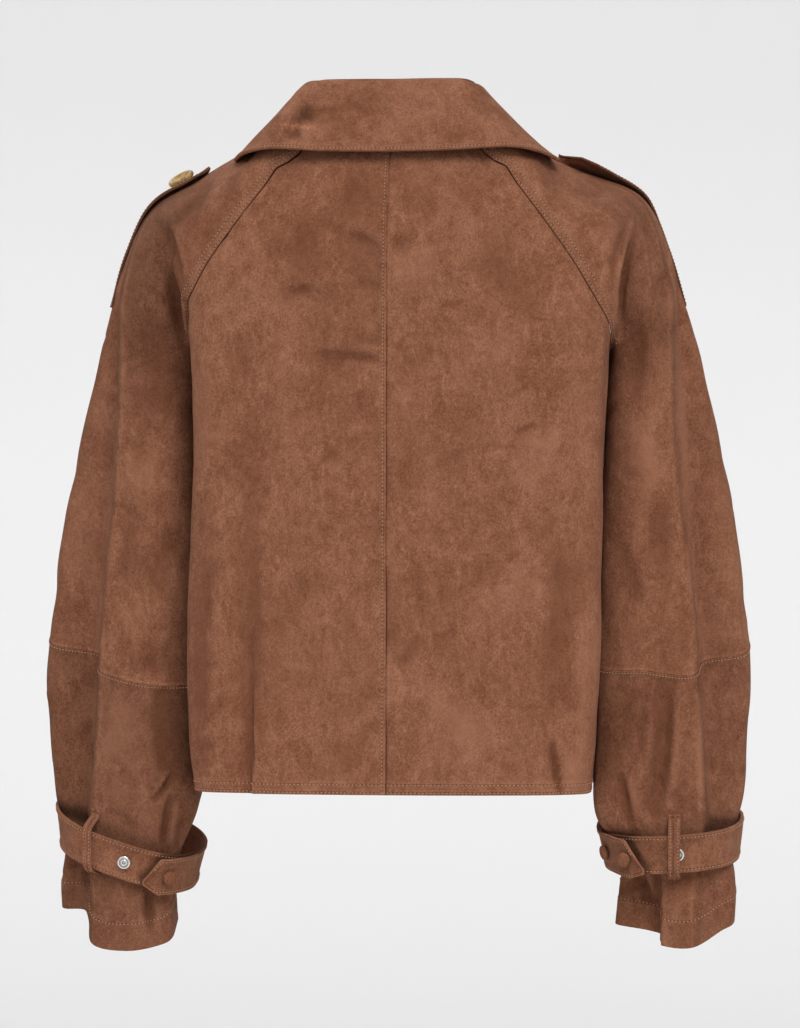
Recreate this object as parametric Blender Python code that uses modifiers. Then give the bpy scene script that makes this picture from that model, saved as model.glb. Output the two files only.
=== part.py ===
"""A cropped suede jacket with raglan sleeves, worn open and hollow as on a figure.

Metres, +Z up. The front faces -Y and the wearer's left arm is at +X. The origin is at
the nape, level with the neck seam. All cloth is a wall with its outer face on the tables'
surfaces: the body is a stack of half rings, each sleeve a stack of sections that is open
along the raglan seams and closed below the underarm. Every surface is a net of points
with smooth cubics through them in both directions.
"""

import math
from collections import namedtuple

import bmesh
import bpy
import numpy as np
from mathutils import Matrix, Vector

# ---- driving dimensions -------------------------------------------------------------
WALL = 0.0013  # one layer of suede
DOUBLE = 0.0024  # two layers sewn together: collar, straps, epaulettes
SEAM_GAP = 0.0006  # between two panels that are sewn edge to edge
CLEARANCE = 0.0004  # between a piece and what it lies on

HEM_Z = -0.5408
UNDERARM_Z = -0.190
NAPE_Z = 0.0
NECK_SEAM_Z = 0.002  # where the raglan seams meet the neck, back
FRONT_NECK_SEAM_Z = -0.014  # and front
CENTRE_FRONT_Z = -0.075  # top of the front edge
LAP = 0.024  # how far each front passes the centre

HEM_FOLD_X = 0.107  # the flare fold near the left back hem
HEM_FOLD_STEP = 0.006
HEM_FOLD_HEIGHT = 0.20

BUTTON_R = 0.0115
BUTTON_THICK = 0.0045
FRONT_BUTTON_Z = (-0.115, -0.225, -0.335, -0.445)
COVERED_R = 0.0062
COVERED_THICK = 0.0042
STUD_R = 0.0055
STUD_THICK = 0.0019

STRAP_WIDTH = 0.031
STRAP_TAB = 0.062  # how far the pointed end passes the start
TAB_LIFT = DOUBLE + 0.0012  # how much further out it lies
LOOP_WIDTH = 0.0095
LOOP_LENGTH = 0.052
LOOP_THICK = 0.0016
LOOP_RISE = 0.0055  # the loops' middle lies above the strap's
EPAULETTE_WIDTH = 0.038
EPAULETTE_POINT = 0.014

SUEDE = (0.230, 0.103, 0.060)
HORN = (0.330, 0.190, 0.070)
STEEL = (0.620, 0.610, 0.590)

# ---- tables -------------------------------------------------------------------------
# Half rings of the body: the fold edge's distance from the middle on each side, the
# side's own distance, and how far back and front reach.
Ring = namedtuple("Ring", "z edge_left edge_right side back front round")
BODY = (
    Ring(HEM_Z, 0.1580, 0.1587, 0.1545, 0.1240, 0.1200, 0.000),
    Ring(-0.500, 0.1635, 0.1635, 0.1555, 0.1225, 0.1205, 0.000),
    Ring(-0.430, 0.1655, 0.1663, 0.1560, 0.1205, 0.1215, 0.000),
    Ring(-0.345, 0.1634, 0.1680, 0.1560, 0.1190, 0.1230, 0.000),
    Ring(-0.270, 0.1605, 0.1696, 0.1560, 0.1180, 0.1250, 0.000),
    Ring(UNDERARM_Z, 0.1625, 0.1740, 0.1590, 0.1170, 0.1200, 0.000),
    Ring(-0.150, 0.1660, 0.1760, 0.1630, 0.1160, 0.1145, 0.001),
    Ring(-0.115, 0.1690, 0.1770, 0.1660, 0.1140, 0.1050, 0.003),
    Ring(-0.080, 0.1710, 0.1780, 0.1680, 0.1085, 0.0900, 0.008),
    Ring(-0.030, 0.1720, 0.1780, 0.1690, 0.0870, 0.0570, 0.014),
    Ring(0.010, 0.1720, 0.1780, 0.1690, 0.0560, 0.0200, 0.018),
)
RAGLAN = ((0.003, 0.055), (-0.030, 0.0755), (-0.042, 0.090), (-0.055, 0.1003), (-0.078, 0.1185),
          (-0.103, 0.1366), (-0.118, 0.1470), (-0.141, 0.1605), (-0.155, 0.1690))  # z, x
RAGLAN_WRAP_Z = -0.148  # below this the seam wraps round the fold edge to the underarm

# Sections of the sleeve over the shoulder: the height of the raglan seam, then the fold
# edge behind the armpit, the valley before it, the lobe, its fold line and the top.
Yoke = namedtuple("Yoke", "seam_z edge_x edge_y valley_x valley_y lobe_x lobe_y fold_x fold_y"
                          " recess_x recess_y top_x top_y top_z")
YOKE = (
    Yoke(NECK_SEAM_Z, .063, .0485, .068, .0395, .072, .023, .0738, .011, .0742, .005, .0745, -.002, .005),
    Yoke(-.030, .0868, .0705, .0940, .0590, .100, .037, .1020, .017, .1030, .007, .1035, 0.000, -.0135),
    Yoke(-.055, .1130, .0780, .1205, .0670, .129, .042, .1335, .019, .1350, .010, .1355, 0.002, -.0272),
    Yoke(-.078, .1352, .0840, .1445, .0725, .1565, .047, .164, .022, .1665, .013, .1680, 0.005, -.0440),
    Yoke(-.103, .1640, .0835, .1755, .0710, .190, .048, .1985, .026, .2015, .018, .2025, 0.010, -.0650),
    Yoke(-.126, .1745, .0830, .1790, .0650, .197, .055, .2140, .040, .2175, .029, .2215, 0.014, -.1050),
    Yoke(-.148, .1700, .0770, .1725, .0540, .197, .058, .2215, .044, .2260, .029, .2340, 0.016, -.1450),
    Yoke(-.170, .1685, .0560, .1725, .0460, .197, .058, .2220, .045, .2280, .028, .2422, 0.016, -.1730),
    Yoke(UNDERARM_Z, .1625, .030, .1725, .046, .197, .057, .2222, .046, .229, .026, .248, 0.016, -.195),
)
# How soon each point rises from the seam's height to the top's.
YOKE_SHARE = (0.0, 0.36, 0.50, 0.76, 0.95, 0.98, 1.0)
RIGHT_TOP_IN = 0.0018  # the right shoulder's outer side lies further in

# Sections of the sleeve below the underarm, each in a plane that leans by lean_y and lean_x.
Arm = namedtuple("Arm", "z lean_y lean_x inner_left inner_right outer_left outer_right"
                        " back front fold recess")
ARM = (
    Arm(-0.225, 0.05, 0.00, .1625, .1703, .2547, .2525, .0560, -.0740, .2245, .025),
    Arm(-0.265, 0.12, 0.02, .1630, .1697, .2638, .2608, .0540, -.0770, .2270, .027),
    Arm(-0.305, 0.20, 0.05, .1630, .1675, .2720, .2677, .0520, -.0790, .2305, .029),
    Arm(-0.350, 0.30, 0.10, .1630, .1653, .2797, .2741, .0510, -.0800, .2362, .030),
    Arm(-0.395, 0.38, 0.13, .1635, .1641, .2860, .2794, .0500, -.0810, .2412, .031),
    Arm(-0.434, 0.43, 0.15, .1635, .1632, .2906, .2834, .0490, -.0810, .2438, .030),
    Arm(-0.475, 0.44, 0.13, .1632, .1622, .2906, .2840, .0480, -.0790, .2452, .029),
    Arm(-0.512, 0.44, 0.11, .1620, .1600, .2876, .2820, .0470, -.0760, .2475, .027),
    Arm(-0.550, 0.44, 0.08, .1645, .1618, .2835, .2792, .0465, -.0720, .2498, .025),
    Arm(-0.587, 0.44, 0.05, .1788, .1819, .2760, .2695, .0435, -.0690, .2505, .025),
    Arm(-0.622, 0.44, 0.02, .1850, .1795, .2785, .2735, .0440, -.0650, .2508, .027),
    Arm(-0.656, 0.44, 0.00, .1832, .1770, .2780, .2725, .0455, -.0620, .2515, .028),
)
# The right cuff folds the other way below the strap: its inner part lies back.
RIGHT_CUFF_Z = (-0.568, -0.600)
RIGHT_CUFF_FOLD, RIGHT_CUFF_RECESS = 0.2145, 0.025
# How much the lower end is raised at each place round the sleeve, left and right.
CUFF_RISE_Z = (-0.600, -0.656)
CUFF_RISE = {1: (.001, .000, -.0025, -.003, -.001, .0135, .0155, .008, .000, .000, .001),
             -1: (.003, .003, .003, .004, .0045, .010, .010, .005, .000, .000, .003)}
LEAN_X0, LEAN_Y0 = 0.243, 0.010  # the point about which the sections lean
ELBOW_ROW = len(YOKE) + 5

# The collar from the centre back to its front end: the roll line and the free edge.
Collar = namedtuple("Collar", "roll_x roll_y roll_z edge_x edge_y edge_z")
COLLAR = (
    Collar(0.0000, 0.0600, 0.0328, 0.0000, 0.0990, -0.0303),
    Collar(0.0300, 0.0600, 0.0330, 0.0500, 0.0965, -0.0292),
    Collar(0.0600, 0.0545, 0.0328, 0.0960, 0.0880, -0.0262),
    Collar(0.0703, 0.0400, 0.0290, 0.1215, 0.0720, -0.0280),
    Collar(0.0655, 0.0130, 0.0235, 0.1300, 0.0450, -0.0305),
    Collar(0.0605, -0.0190, 0.0160, 0.1160, -0.0050, -0.0115),
    Collar(0.0520, -0.0530, -0.0010, 0.1120, -0.0600, -0.0320),
    Collar(0.0345, -0.0830, -0.0280, 0.1020, -0.1040, -0.0850),
    Collar(0.0120, -0.0985, -0.0460, 0.0800, -0.1235, -0.1280),
)
COLLAR_SHIFT = 0.0012  # the collar sits this far towards the wearer's left
STAND_CENTRE_GAP = 0.004

# The cuff straps: half axes of the loop, its middle, the plane's height and leans, and
# where the tab and the belt loop sit, in degrees from the outer side towards the back.
Strap = namedtuple("Strap", "half_x half_y mid_x mid_y z lean_x lean_y tab loop stud buttons")
STRAP = {1: Strap(.0592, .0678, .2262, -.0105, -.5898, .330, .147, 106.0, 72.0, 93.5, (128.0,)),
         -1: Strap(.0578, .0665, .2221, -.0105, -.5861, .044, .115, 106.0, 86.0, 79.0, (121.0, 151.0))}
STRAP_CONE = (0.0050, 0.0018)  # how far the lower edge lies in, and how that grows to the inner side
STRAP_SQUARE = 0.79  # 1 is an ellipse, less is squarer

# The epaulettes run from a place down the sleeve's net to the shoulder's end. Their lift
# off the shoulder is given at four even places from the tip on.
EPAULETTE_START = {1: 2.62, -1: 1.87}
EPAULETTE_END = 6.15
EPAULETTE_LENGTH = 0.143
EPAULETTE_Y = 0.006
EPAULETTE_TILT = {1: math.radians(1), -1: math.radians(-2)}
EPAULETTE_LIFT = {1: (0.0056, 0.0036, 0.0034, 0.0032), -1: (0.0052, 0.0036, 0.0031, 0.0032)}
EPAULETTE_BUTTON_AT = 0.175  # share of the length from the tip
EPAULETTE_BUTTON_LEAN = 0.09
EPAULETTE_BUTTON_LIFT = {1: 0.0012, -1: 0.0006}


# ---- smooth curves and nets ---------------------------------------------------------
def factors(knots, at):
    """One row per value in at: its factors for the knots' values, on a curve of one cubic
    per stretch whose slope at a knot is the mean of its two stretches' slopes, the
    shorter stretch counting more."""
    knots = np.asarray(knots, float)
    at = np.asarray(at, float)
    step = np.diff(knots)
    slope = np.zeros((len(knots), len(knots)))
    for i in range(1, len(knots) - 1):
        a, b = step[i - 1], step[i]
        slope[i, i - 1], slope[i, i + 1] = -b / (a * (a + b)), a / (b * (a + b))
        slope[i, i] = (b - a) / (a * b)
    slope[0, :2] = -1 / step[0], 1 / step[0]
    slope[-1, -2:] = -1 / step[-1], 1 / step[-1]
    k = np.clip(np.searchsorted(knots, at, side="right") - 1, 0, len(knots) - 2)
    t = ((at - knots[k]) / step[k])[..., None]
    h = step[k][..., None]
    one = np.eye(len(knots))
    return ((2 * t**3 - 3 * t**2 + 1) * one[k] + (t**3 - 2 * t**2 + t) * h * slope[k]
            + (3 * t**2 - 2 * t**3) * one[k + 1] + (t**3 - t**2) * h * slope[k + 1])


def smooth(low, high, value):
    """0 on low's side, 1 past high, and an even ramp between."""
    t = np.clip((value - low) / (high - low), 0, 1)
    return t * t * (3 - 2 * t)


def mirrored(points, side):
    return points * np.array([side, 1.0, 1.0])


# ---- the body -----------------------------------------------------------------------
RING_KNOTS = np.arange(-1, 12)  # 0 is the centre back, 4 the fold edge, 5 the side, 10 the centre front
CENTRE_BACK, FOLD_EDGE, SIDE, CENTRE_FRONT = 0, 4, 5, 10


def ring_points(ring, side):
    """The half ring through its named reaches, with one point past each centre."""
    e = ring.edge_left if side > 0 else ring.edge_right
    s = ring.side + .8 * (e - ring.edge_left)
    b, f = ring.back, ring.front
    half = [(0, b), (.38 * e, b - .0015), (.72 * e, b - .009), (.935 * e, b - .024), (e, b - .050),
            (s, 0), (s, -(f - .048)), (.92 * s, -(f - .022)), (.66 * s, -(f - .007)),
            (.33 * s, -(f - .001)), (0, -f)]
    half = [(x, y - math.copysign(ring.round * (x / .1) ** 2, y)) for x, y in half]
    before = (-half[1][0], half[1][1])
    after = (-half[-2][0], half[-2][1])
    return [before, *half, after]


def body_points(side, tau, z):
    """Points of one half of the body at places tau round it and heights z."""
    tau, z = np.broadcast_arrays(np.asarray(tau, float), np.asarray(z, float))
    heights = [ring.z for ring in BODY]
    net = np.array([ring_points(ring, side) for ring in BODY])
    xy = np.einsum("...h,...k,hkc->...c", factors(heights, z), factors(RING_KNOTS, tau), net)
    x, y = xy[..., 0], xy[..., 1]
    if side > 0:
        near_hem = 1 - smooth(HEM_Z, HEM_Z + HEM_FOLD_HEIGHT, z)
        past = smooth(HEM_FOLD_X - .002, HEM_FOLD_X + .006, x)
        fading = 1 - smooth(HEM_FOLD_X, HEM_FOLD_X + .050, x)
        y = y - HEM_FOLD_STEP * near_hem * past * fading * (tau < FOLD_EDGE)
    return np.stack([x * side, y, z], axis=-1)


def raglan_tau(side, z, front=False):
    """Where the raglan seam crosses the half ring at height z: it follows the table's
    distance from the middle, and below the table it wraps round the edge to the side."""
    seam_z, seam_x = np.array(RAGLAN[::-1]).T
    ends = (CENTRE_FRONT, SIDE + 1) if front else (CENTRE_BACK, FOLD_EDGE)
    dense = np.linspace(*ends, 121)
    start_z = max(z, RAGLAN_WRAP_Z)
    reach = np.interp(start_z, seam_z, seam_x)
    ring_x = np.abs(body_points(side, dense, np.full_like(dense, start_z))[:, 0])
    start = float(np.interp(reach, ring_x, dense))
    share = (start_z - z) / (RAGLAN_WRAP_Z - UNDERARM_Z)
    return start + (SIDE - start) * share ** 1.3


def front_height(seam_z):
    """The front raglan seam's height where the back one is at seam_z."""
    return UNDERARM_Z + (seam_z - UNDERARM_Z) * (FRONT_NECK_SEAM_Z - UNDERARM_Z) / (NECK_SEAM_Z - UNDERARM_Z)


def seam_point(side, seam_z, front=False):
    z = front_height(seam_z) if front else seam_z
    return body_points(side, raglan_tau(side, z, front), z)


# ---- the sleeves --------------------------------------------------------------------
SLEEVE_KNOTS = np.arange(11)  # 0 and 10 are the back and front seams, 6 the outer side
OUTER = 6
UNDERARM_ROW = len(YOKE) - 1
CUFF_ROW = len(YOKE) + len(ARM) - 1


def widening(side, z):
    """How much further out the body's fold edge is on this side than on the left."""
    if side > 0:
        return 0.0
    heights = [ring.z for ring in BODY]
    return float(factors(heights, np.array([z]))[0] @ [r.edge_right - r.edge_left for r in BODY])


def yoke_points(row, side):
    back = seam_point(side, row.seam_z) * [side, 1, 1]
    front = seam_point(side, row.seam_z, True) * [side, 1, 1]
    out = widening(side, row.seam_z) * smooth(-.09, -.15, row.seam_z)
    xy = [(row.edge_x + out, row.edge_y), (row.valley_x + .9 * out, row.valley_y),
          (row.lobe_x + .5 * out, row.lobe_y), (row.fold_x, row.fold_y), (row.recess_x, row.recess_y)]
    points = [back]
    for (x, y), share in zip(xy, YOKE_SHARE[1:]):
        points.append((x, y, row.seam_z + (row.top_z - row.seam_z) * share))
    top_x = row.top_x - (RIGHT_TOP_IN * smooth(-.05, -.09, row.seam_z) if side < 0 else 0)
    points.append((top_x, row.top_y, row.top_z))
    fronts = ((xy[3][0], -row.fold_y - .004, .93), (xy[2][0] - .003, -row.lobe_y - .006, .70),
              (xy[0][0] + .0010, -.9 * row.edge_y, .30))
    for x, y, share in fronts:
        points.append((x, y, front[2] + (row.top_z - front[2]) * share))
    points.append(front)
    return np.array(points, float)


def arm_points(row, side):
    inner, outer = (row.inner_left, row.outer_left) if side > 0 else (row.inner_right, row.outer_right)
    wide = outer - inner
    xy = np.array([(inner, .004), (inner + .0005, .028), (inner + .0095, row.back - .009),
                   ((inner + row.fold) / 2 + .002, row.back), (row.fold - .002, row.back - .007),
                   (row.fold + .005, row.back - row.recess), (outer, .014),
                   (outer - .009, -.038), (inner + .52 * wide, row.front),
                   (inner + .013, row.front + .019), (inner, .004)])
    if side < 0:
        turned_in = smooth(*RIGHT_CUFF_Z, row.z)
        other = xy.copy()
        other[1:6] = [(inner + .0015, .010), (RIGHT_CUFF_FOLD - .006, row.back - RIGHT_CUFF_RECESS),
                      (RIGHT_CUFF_FOLD + .001, row.back - .004), (.2400, row.back),
                      (.2610, row.back - .014)]
        xy = xy + turned_in * (other - xy)
    z = row.z - row.lean_y * (xy[:, 1] - LEAN_Y0) + row.lean_x * (xy[:, 0] - LEAN_X0)
    return np.column_stack([xy, z + smooth(*CUFF_RISE_Z, row.z) * np.array(CUFF_RISE[side])])


def sleeve_net(side):
    return np.array([yoke_points(row, side) for row in YOKE] + [arm_points(row, side) for row in ARM])


def yoke_seam_z(v):
    """The back raglan seam's height at places v down the sleeve."""
    return factors(np.arange(len(YOKE)), v) @ [row.seam_z for row in YOKE]


def sleeve_points(side, u, v):
    """A grid of the sleeve at places v down it and u round it. The open rows are drawn to
    the body's own seam, so that both panels share its points."""
    net = sleeve_net(side)
    grid = np.einsum("vi,uj,ijc->vuc", factors(np.arange(len(net)), v), factors(SLEEVE_KNOTS, u), net)
    for i, row in enumerate(v):
        closed = (grid[i, 0] + grid[i, -1]) / 2
        goals = closed, closed
        if row <= UNDERARM_ROW:
            seam_z = float(yoke_seam_z(np.array([row]))[0])
            goals = [seam_point(side, seam_z, front) * [side, 1, 1] for front in (False, True)]
        for goal, end, away in zip(goals, (0, -1), (u, 10 - u)):
            grid[i] += np.clip(1 - away / 1.5, 0, 1)[:, None] ** 2 * (goal - grid[i, end])
    return mirrored(grid, side)


# ---- meshes -------------------------------------------------------------------------
def pull_in(grid, rows=(0, 0), columns=(0, 0)):
    """Moves a grid's outer rows and columns inwards along the grid by these amounts."""
    grid = grid.copy()
    for axis, ends in ((0, rows), (1, columns)):
        view = np.moveaxis(grid, axis, 0)
        for end, amount in zip((0, -1), ends):
            if np.any(amount):
                inward = view[1 if end == 0 else -2] - view[end]
                length = np.linalg.norm(inward, axis=-1, keepdims=True)
                view[end] += inward / np.maximum(length, 1e-9) * np.reshape(amount, (-1, 1))
    return grid


def grid_object(name, grid, thickness, material, outward, weld=False):
    """A wall on a grid of points, its outer face on the grid. outward is a function that
    gives a point on the hollow side for each face centre."""
    rows, columns = grid.shape[:2]
    index = np.arange(rows * columns).reshape(rows, columns)
    faces = np.stack([index[:-1, :-1], index[:-1, 1:], index[1:, 1:], index[1:, :-1]], axis=-1).reshape(-1, 4)
    points = grid.reshape(-1, 3)
    a, b, c, d = (points[faces[:, k]] for k in range(4))
    normal = np.cross(c - a, d - b)
    if np.sum(normal * ((a + c) / 2 - outward((a + c) / 2))) < 0:
        faces = faces[:, ::-1]
    mesh = bpy.data.meshes.new(name)
    mesh.from_pydata(points.tolist(), [], faces.tolist())
    if weld:
        bm = bmesh.new()
        bm.from_mesh(mesh)
        bmesh.ops.remove_doubles(bm, verts=bm.verts, dist=2e-5)
        bm.to_mesh(mesh)
        bm.free()
    obj = placed(name, mesh, material)
    wall = obj.modifiers.new("Wall", "SOLIDIFY")
    wall.thickness = thickness
    wall.offset = -1
    return obj


def placed(name, mesh, material):
    mesh.shade_smooth()
    mesh.set_sharp_from_angle(angle=math.radians(50))
    mesh.materials.append(material)
    obj = bpy.data.objects.new(name, mesh)
    bpy.data.collections["suede_jacket"].objects.link(obj)
    return obj


def finish(name, colour, roughness, metallic=0.0):
    material = bpy.data.materials.new(name)
    material.use_nodes = True
    shader = material.node_tree.nodes["Principled BSDF"]
    shader.inputs["Base Color"].default_value = (*colour, 1)
    shader.inputs["Roughness"].default_value = roughness
    shader.inputs["Metallic"].default_value = metallic
    return material


def axis_of(x=0.0, y=0.0):
    """For a hollow along a vertical line: each point's nearest point on the line."""
    return lambda points: np.column_stack([np.full(len(points), x), np.full(len(points), y), points[:, 2]])


def label(side):
    return "left" if side > 0 else "right"


# ---- panels -------------------------------------------------------------------------
YOKE_V = np.array([0, .5, 1, 1.7, 2.4, 3.1, 3.8, 4.4, 5, 5.5, 6, 6.5, 7, 7.5, 8])
BELOW = 8  # rows of a body panel under the underarm


def panel_heights():
    """Heights of the rows at the seam, from the hem up."""
    low = np.linspace(HEM_Z, UNDERARM_Z, BELOW + 1)[:-1]
    return low, yoke_seam_z(YOKE_V[::-1])


def back_panel(side, material):
    low, high = panel_heights()
    share = np.linspace(0, 1, 11)
    rows = []
    for z in low:
        rows.append(body_points(side, share * SIDE, z))
    for z in high:
        centre = UNDERARM_Z + (z - UNDERARM_Z) * (NAPE_Z - UNDERARM_Z) / (NECK_SEAM_Z - UNDERARM_Z)
        height = centre + (z - centre) * share ** 2
        rows.append(body_points(side, share * raglan_tau(side, z), height))
    grid = pull_in(np.array(rows), rows=(0, 0), columns=(SEAM_GAP / 2, SEAM_GAP / 2))
    return grid_object(f"back_{label(side)}", grid, WALL, material, axis_of())


def front_lap(side, points):
    """The left front passes under the right one at the centre: its points move in."""
    if side > 0:
        under = 1 - smooth(LAP + .004, LAP + .034, points[..., 0])
        points = points + under[..., None] * [0, WALL + .0014, 0]
    return points


def front_panel(side, material):
    low, high = panel_heights()
    share = np.linspace(0, 1, 13)
    past = LAP / (0.33 * BODY[0].side)
    rows = []
    for z in low:
        rows.append(body_points(side, SIDE + share * (CENTRE_FRONT + past - SIDE), z))
    for z in front_height(high):
        rise = (CENTRE_FRONT_Z - UNDERARM_Z) / (FRONT_NECK_SEAM_Z - UNDERARM_Z)
        centre = UNDERARM_Z + (z - UNDERARM_Z) * rise
        seam = raglan_tau(side, z, True)
        height = z + (centre - z) * (1 - (1 - np.minimum(share / .8, 1)) ** 2)
        rows.append(body_points(side, seam + share * (CENTRE_FRONT + past - seam), height))
    grid = pull_in(front_lap(side, np.array(rows)), columns=(SEAM_GAP / 2, 0))
    return grid_object(f"front_{label(side)}", grid, WALL, material, axis_of())


def sleeve_columns(per_stretch=2.4):
    return np.linspace(0, 10, int(10 * per_stretch) + 1)


def sleeve_upper(side, material):
    v = np.concatenate([YOKE_V, np.linspace(UNDERARM_ROW, ELBOW_ROW, 8)[1:]])
    u = sleeve_columns()
    grid = sleeve_points(side, u, v)
    amount = np.where(v < UNDERARM_ROW, SEAM_GAP / 2, 0.0)
    grid = pull_in(grid, rows=(0, SEAM_GAP / 2), columns=(amount, amount))
    underarm = len(YOKE_V) - 1
    grid[underarm, (0, -1)] += [side * .0014, 0, -.0010]
    hollow = axis_of(side * .205, -.01)
    return grid_object(f"sleeve_upper_{label(side)}", grid, WALL, material, hollow, weld=True)


def sleeve_lower(side, material):
    v = np.linspace(ELBOW_ROW, CUFF_ROW, 9)
    grid = pull_in(sleeve_points(side, sleeve_columns(), v), rows=(SEAM_GAP / 2, 0))
    hollow = axis_of(side * .22, -.01)
    return grid_object(f"sleeve_lower_{label(side)}", grid, WALL, material, hollow, weld=True)


# ---- the collar ---------------------------------------------------------------------
def neck_line():
    """The neck seam from the centre back to the left front's centre."""
    share = np.linspace(0, 1, 7)
    height = NAPE_Z + share ** 2 * (NECK_SEAM_Z - NAPE_Z)
    back = body_points(1, share * raglan_tau(1, NECK_SEAM_Z), height)
    over = sleeve_points(1, np.linspace(0, 10, 13), np.array([0.0]))[0]
    share = np.linspace(0, 1, 9)
    seam = raglan_tau(1, FRONT_NECK_SEAM_Z, True)
    fall = 1 - (1 - np.minimum(share / .8, 1)) ** 2
    height = FRONT_NECK_SEAM_Z + (CENTRE_FRONT_Z - FRONT_NECK_SEAM_Z) * fall
    front = body_points(1, seam + share * (CENTRE_FRONT - seam), height)
    line = np.concatenate([back, over[1:], front[1:]])
    length = np.concatenate([[0], np.cumsum(np.linalg.norm(np.diff(line, axis=0), axis=1))])
    return length / length[-1], line


def both_halves(half):
    """Joins a half that starts at the centre back with its mirror image."""
    return np.concatenate([mirrored(half[::-1], -1)[:-1], half])


def collar_stand(material):
    along, line = neck_line()
    t = np.linspace(0, 1, 15)
    foot = np.column_stack([np.interp(t, along, line[:, k]) for k in range(3)])
    knots = np.linspace(0, 1, len(COLLAR))
    table = np.array(COLLAR)
    roll = factors(knots, t) @ table[:, :3]
    inward = roll * [1, 1, 0]
    inward /= np.linalg.norm(inward, axis=1, keepdims=True)
    roll = roll - inward * (DOUBLE + .0032) - [0, 0, DOUBLE + .0006]
    rise = roll - foot
    foot = foot + rise * (.0064 / np.linalg.norm(rise, axis=1, keepdims=True)) - inward * .0010
    half = np.stack([foot, (foot + roll) / 2 - inward * .0008, roll], axis=1)
    half[-1, :, 0] = STAND_CENTRE_GAP / 2
    grid = both_halves(half)
    grid[..., 0] += COLLAR_SHIFT * np.array([0, .5, 1])
    return grid_object("collar_stand", grid, WALL, material, axis_of(0, -.02))


def collar_fall(material):
    table = np.array(COLLAR)
    t = np.linspace(0, 1, 17)
    weights = factors(np.linspace(0, 1, len(COLLAR)), t)
    roll, edge = weights @ table[:, :3], weights @ table[:, 3:]
    out = (edge - roll) * [1, 1, 0]
    out /= np.linalg.norm(out, axis=1, keepdims=True)
    half = []
    for share, lift in ((0, -.002), (.06, .0), (.2, .002), (.4, .003), (.6, .003), (.8, .002), (1, 0)):
        half.append(roll + (edge - roll) * share + out * lift * .5 + [0, 0, lift])
    grid = both_halves(np.stack(half, axis=1)) + [COLLAR_SHIFT, 0, 0]
    return grid_object("collar_fall", grid, DOUBLE, material, axis_of(0, -.02))


# ---- straps, loops and epaulettes ---------------------------------------------------
def strap_point(strap, side, degrees, height, lift=0.0):
    """A point of the cuff strap's outer face: an oval loop, at a height across the width."""
    angle = np.radians(degrees)
    c, s = np.cos(angle), np.sin(angle)
    lift = lift - (STRAP_CONE[0] - STRAP_CONE[1] * c) * (.5 - height / STRAP_WIDTH)
    x = strap.mid_x + (strap.half_x + lift) * np.sign(c) * np.abs(c) ** STRAP_SQUARE
    y = strap.mid_y + (strap.half_y + lift) * np.sign(s) * np.abs(s) ** STRAP_SQUARE
    z = strap.z + strap.lean_x * (x - strap.mid_x) - strap.lean_y * (y - strap.mid_y) + height
    return np.stack([x * side, y, z], axis=-1)


def cuff_strap(side, material):
    """One band: its under end starts at the tab, it goes once round the sleeve and its
    pointed end comes to lie on the start."""
    strap = STRAP[side]
    lap = math.degrees(STRAP_TAB / strap.half_x)
    degrees = np.linspace(strap.tab + lap, strap.tab - 360, 41)
    turned = (strap.tab + lap - degrees) / 360
    lift = TAB_LIFT * smooth(.68, .84, turned)
    to_point = np.radians(degrees - degrees[-1]) * strap.half_x
    half_width = STRAP_WIDTH / 2 * np.clip(.12 + to_point / .016, .12, 1)
    rows = [strap_point(strap, side, degrees, half_width * k, lift) for k in (-1, 0, 1)]
    grid = np.stack(rows, axis=1)
    hollow = axis_of(side * strap.mid_x, strap.mid_y)
    return grid_object(f"cuff_strap_{label(side)}", grid, DOUBLE, material, hollow)


def strap_loop(side, material):
    """A narrow band over the strap, with both ends on the sleeve."""
    strap = STRAP[side]
    middle = strap_point(strap, side, strap.loop, LOOP_RISE)
    ahead = strap_point(strap, side, strap.loop + 1, LOOP_RISE)
    along = (ahead - middle) / np.linalg.norm(ahead - middle)
    up = np.array([0, 0, 1.0])
    out = np.cross(along, up)
    out *= np.sign(np.dot(out, middle - [side * strap.mid_x, strap.mid_y, middle[2]]))
    out /= np.linalg.norm(out)
    sleeve = sleeve_points(side, np.linspace(1, 6, 101), np.linspace(ELBOW_ROW, CUFF_ROW, 81)).reshape(-1, 3)

    def seat(h):
        """How far out of the strap's face a point lies that rests on the sleeve."""
        place = middle + up * h * LOOP_LENGTH
        near = np.hypot(sleeve[:, 0] - place[0], sleeve[:, 2] - place[2]) < LOOP_WIDTH / 2
        return (sleeve[near, 1].max() + LOOP_THICK + CLEARANCE - place[1]) / out[1]

    profile = [(-.5, seat(-.5)), (-.455, -.0028), (-.41, .0030), (-.36, .0044), (-.1, .0046), (.18, .0044),
               (.24, .0030), (.33, (seat(.38) + .003) / 2), (.40, seat(.40)), (.5, seat(.5))]
    grid = [[middle + along * w * LOOP_WIDTH + up * h * LOOP_LENGTH + out * d for w in (-.5, .5)]
            for h, d in profile]
    return grid_object(f"strap_loop_{label(side)}", np.array(grid), LOOP_THICK, material,
                       axis_of(side * strap.mid_x, strap.mid_y))


def epaulette_line(side, share):
    """The strap's middle line over the shoulder, and the direction away from it."""
    start = EPAULETTE_START[side]
    v = start + (EPAULETTE_END - start) * np.asarray(share, float)
    top = sleeve_points(side, np.array([float(OUTER)]), v)[:, 0]
    tangent = np.gradient(top, axis=0)
    normal = np.cross(tangent, [0, side, 0])
    normal *= np.sign(normal[:, 2:3] + side * normal[:, 0:1])
    normal /= np.linalg.norm(normal, axis=1, keepdims=True)
    lift = factors(np.linspace(0, 1, 4), np.asarray(share, float)) @ EPAULETTE_LIFT[side]
    return top * [1, 0, 1] + [0, EPAULETTE_Y, 0] + normal * lift[:, None], normal


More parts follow.
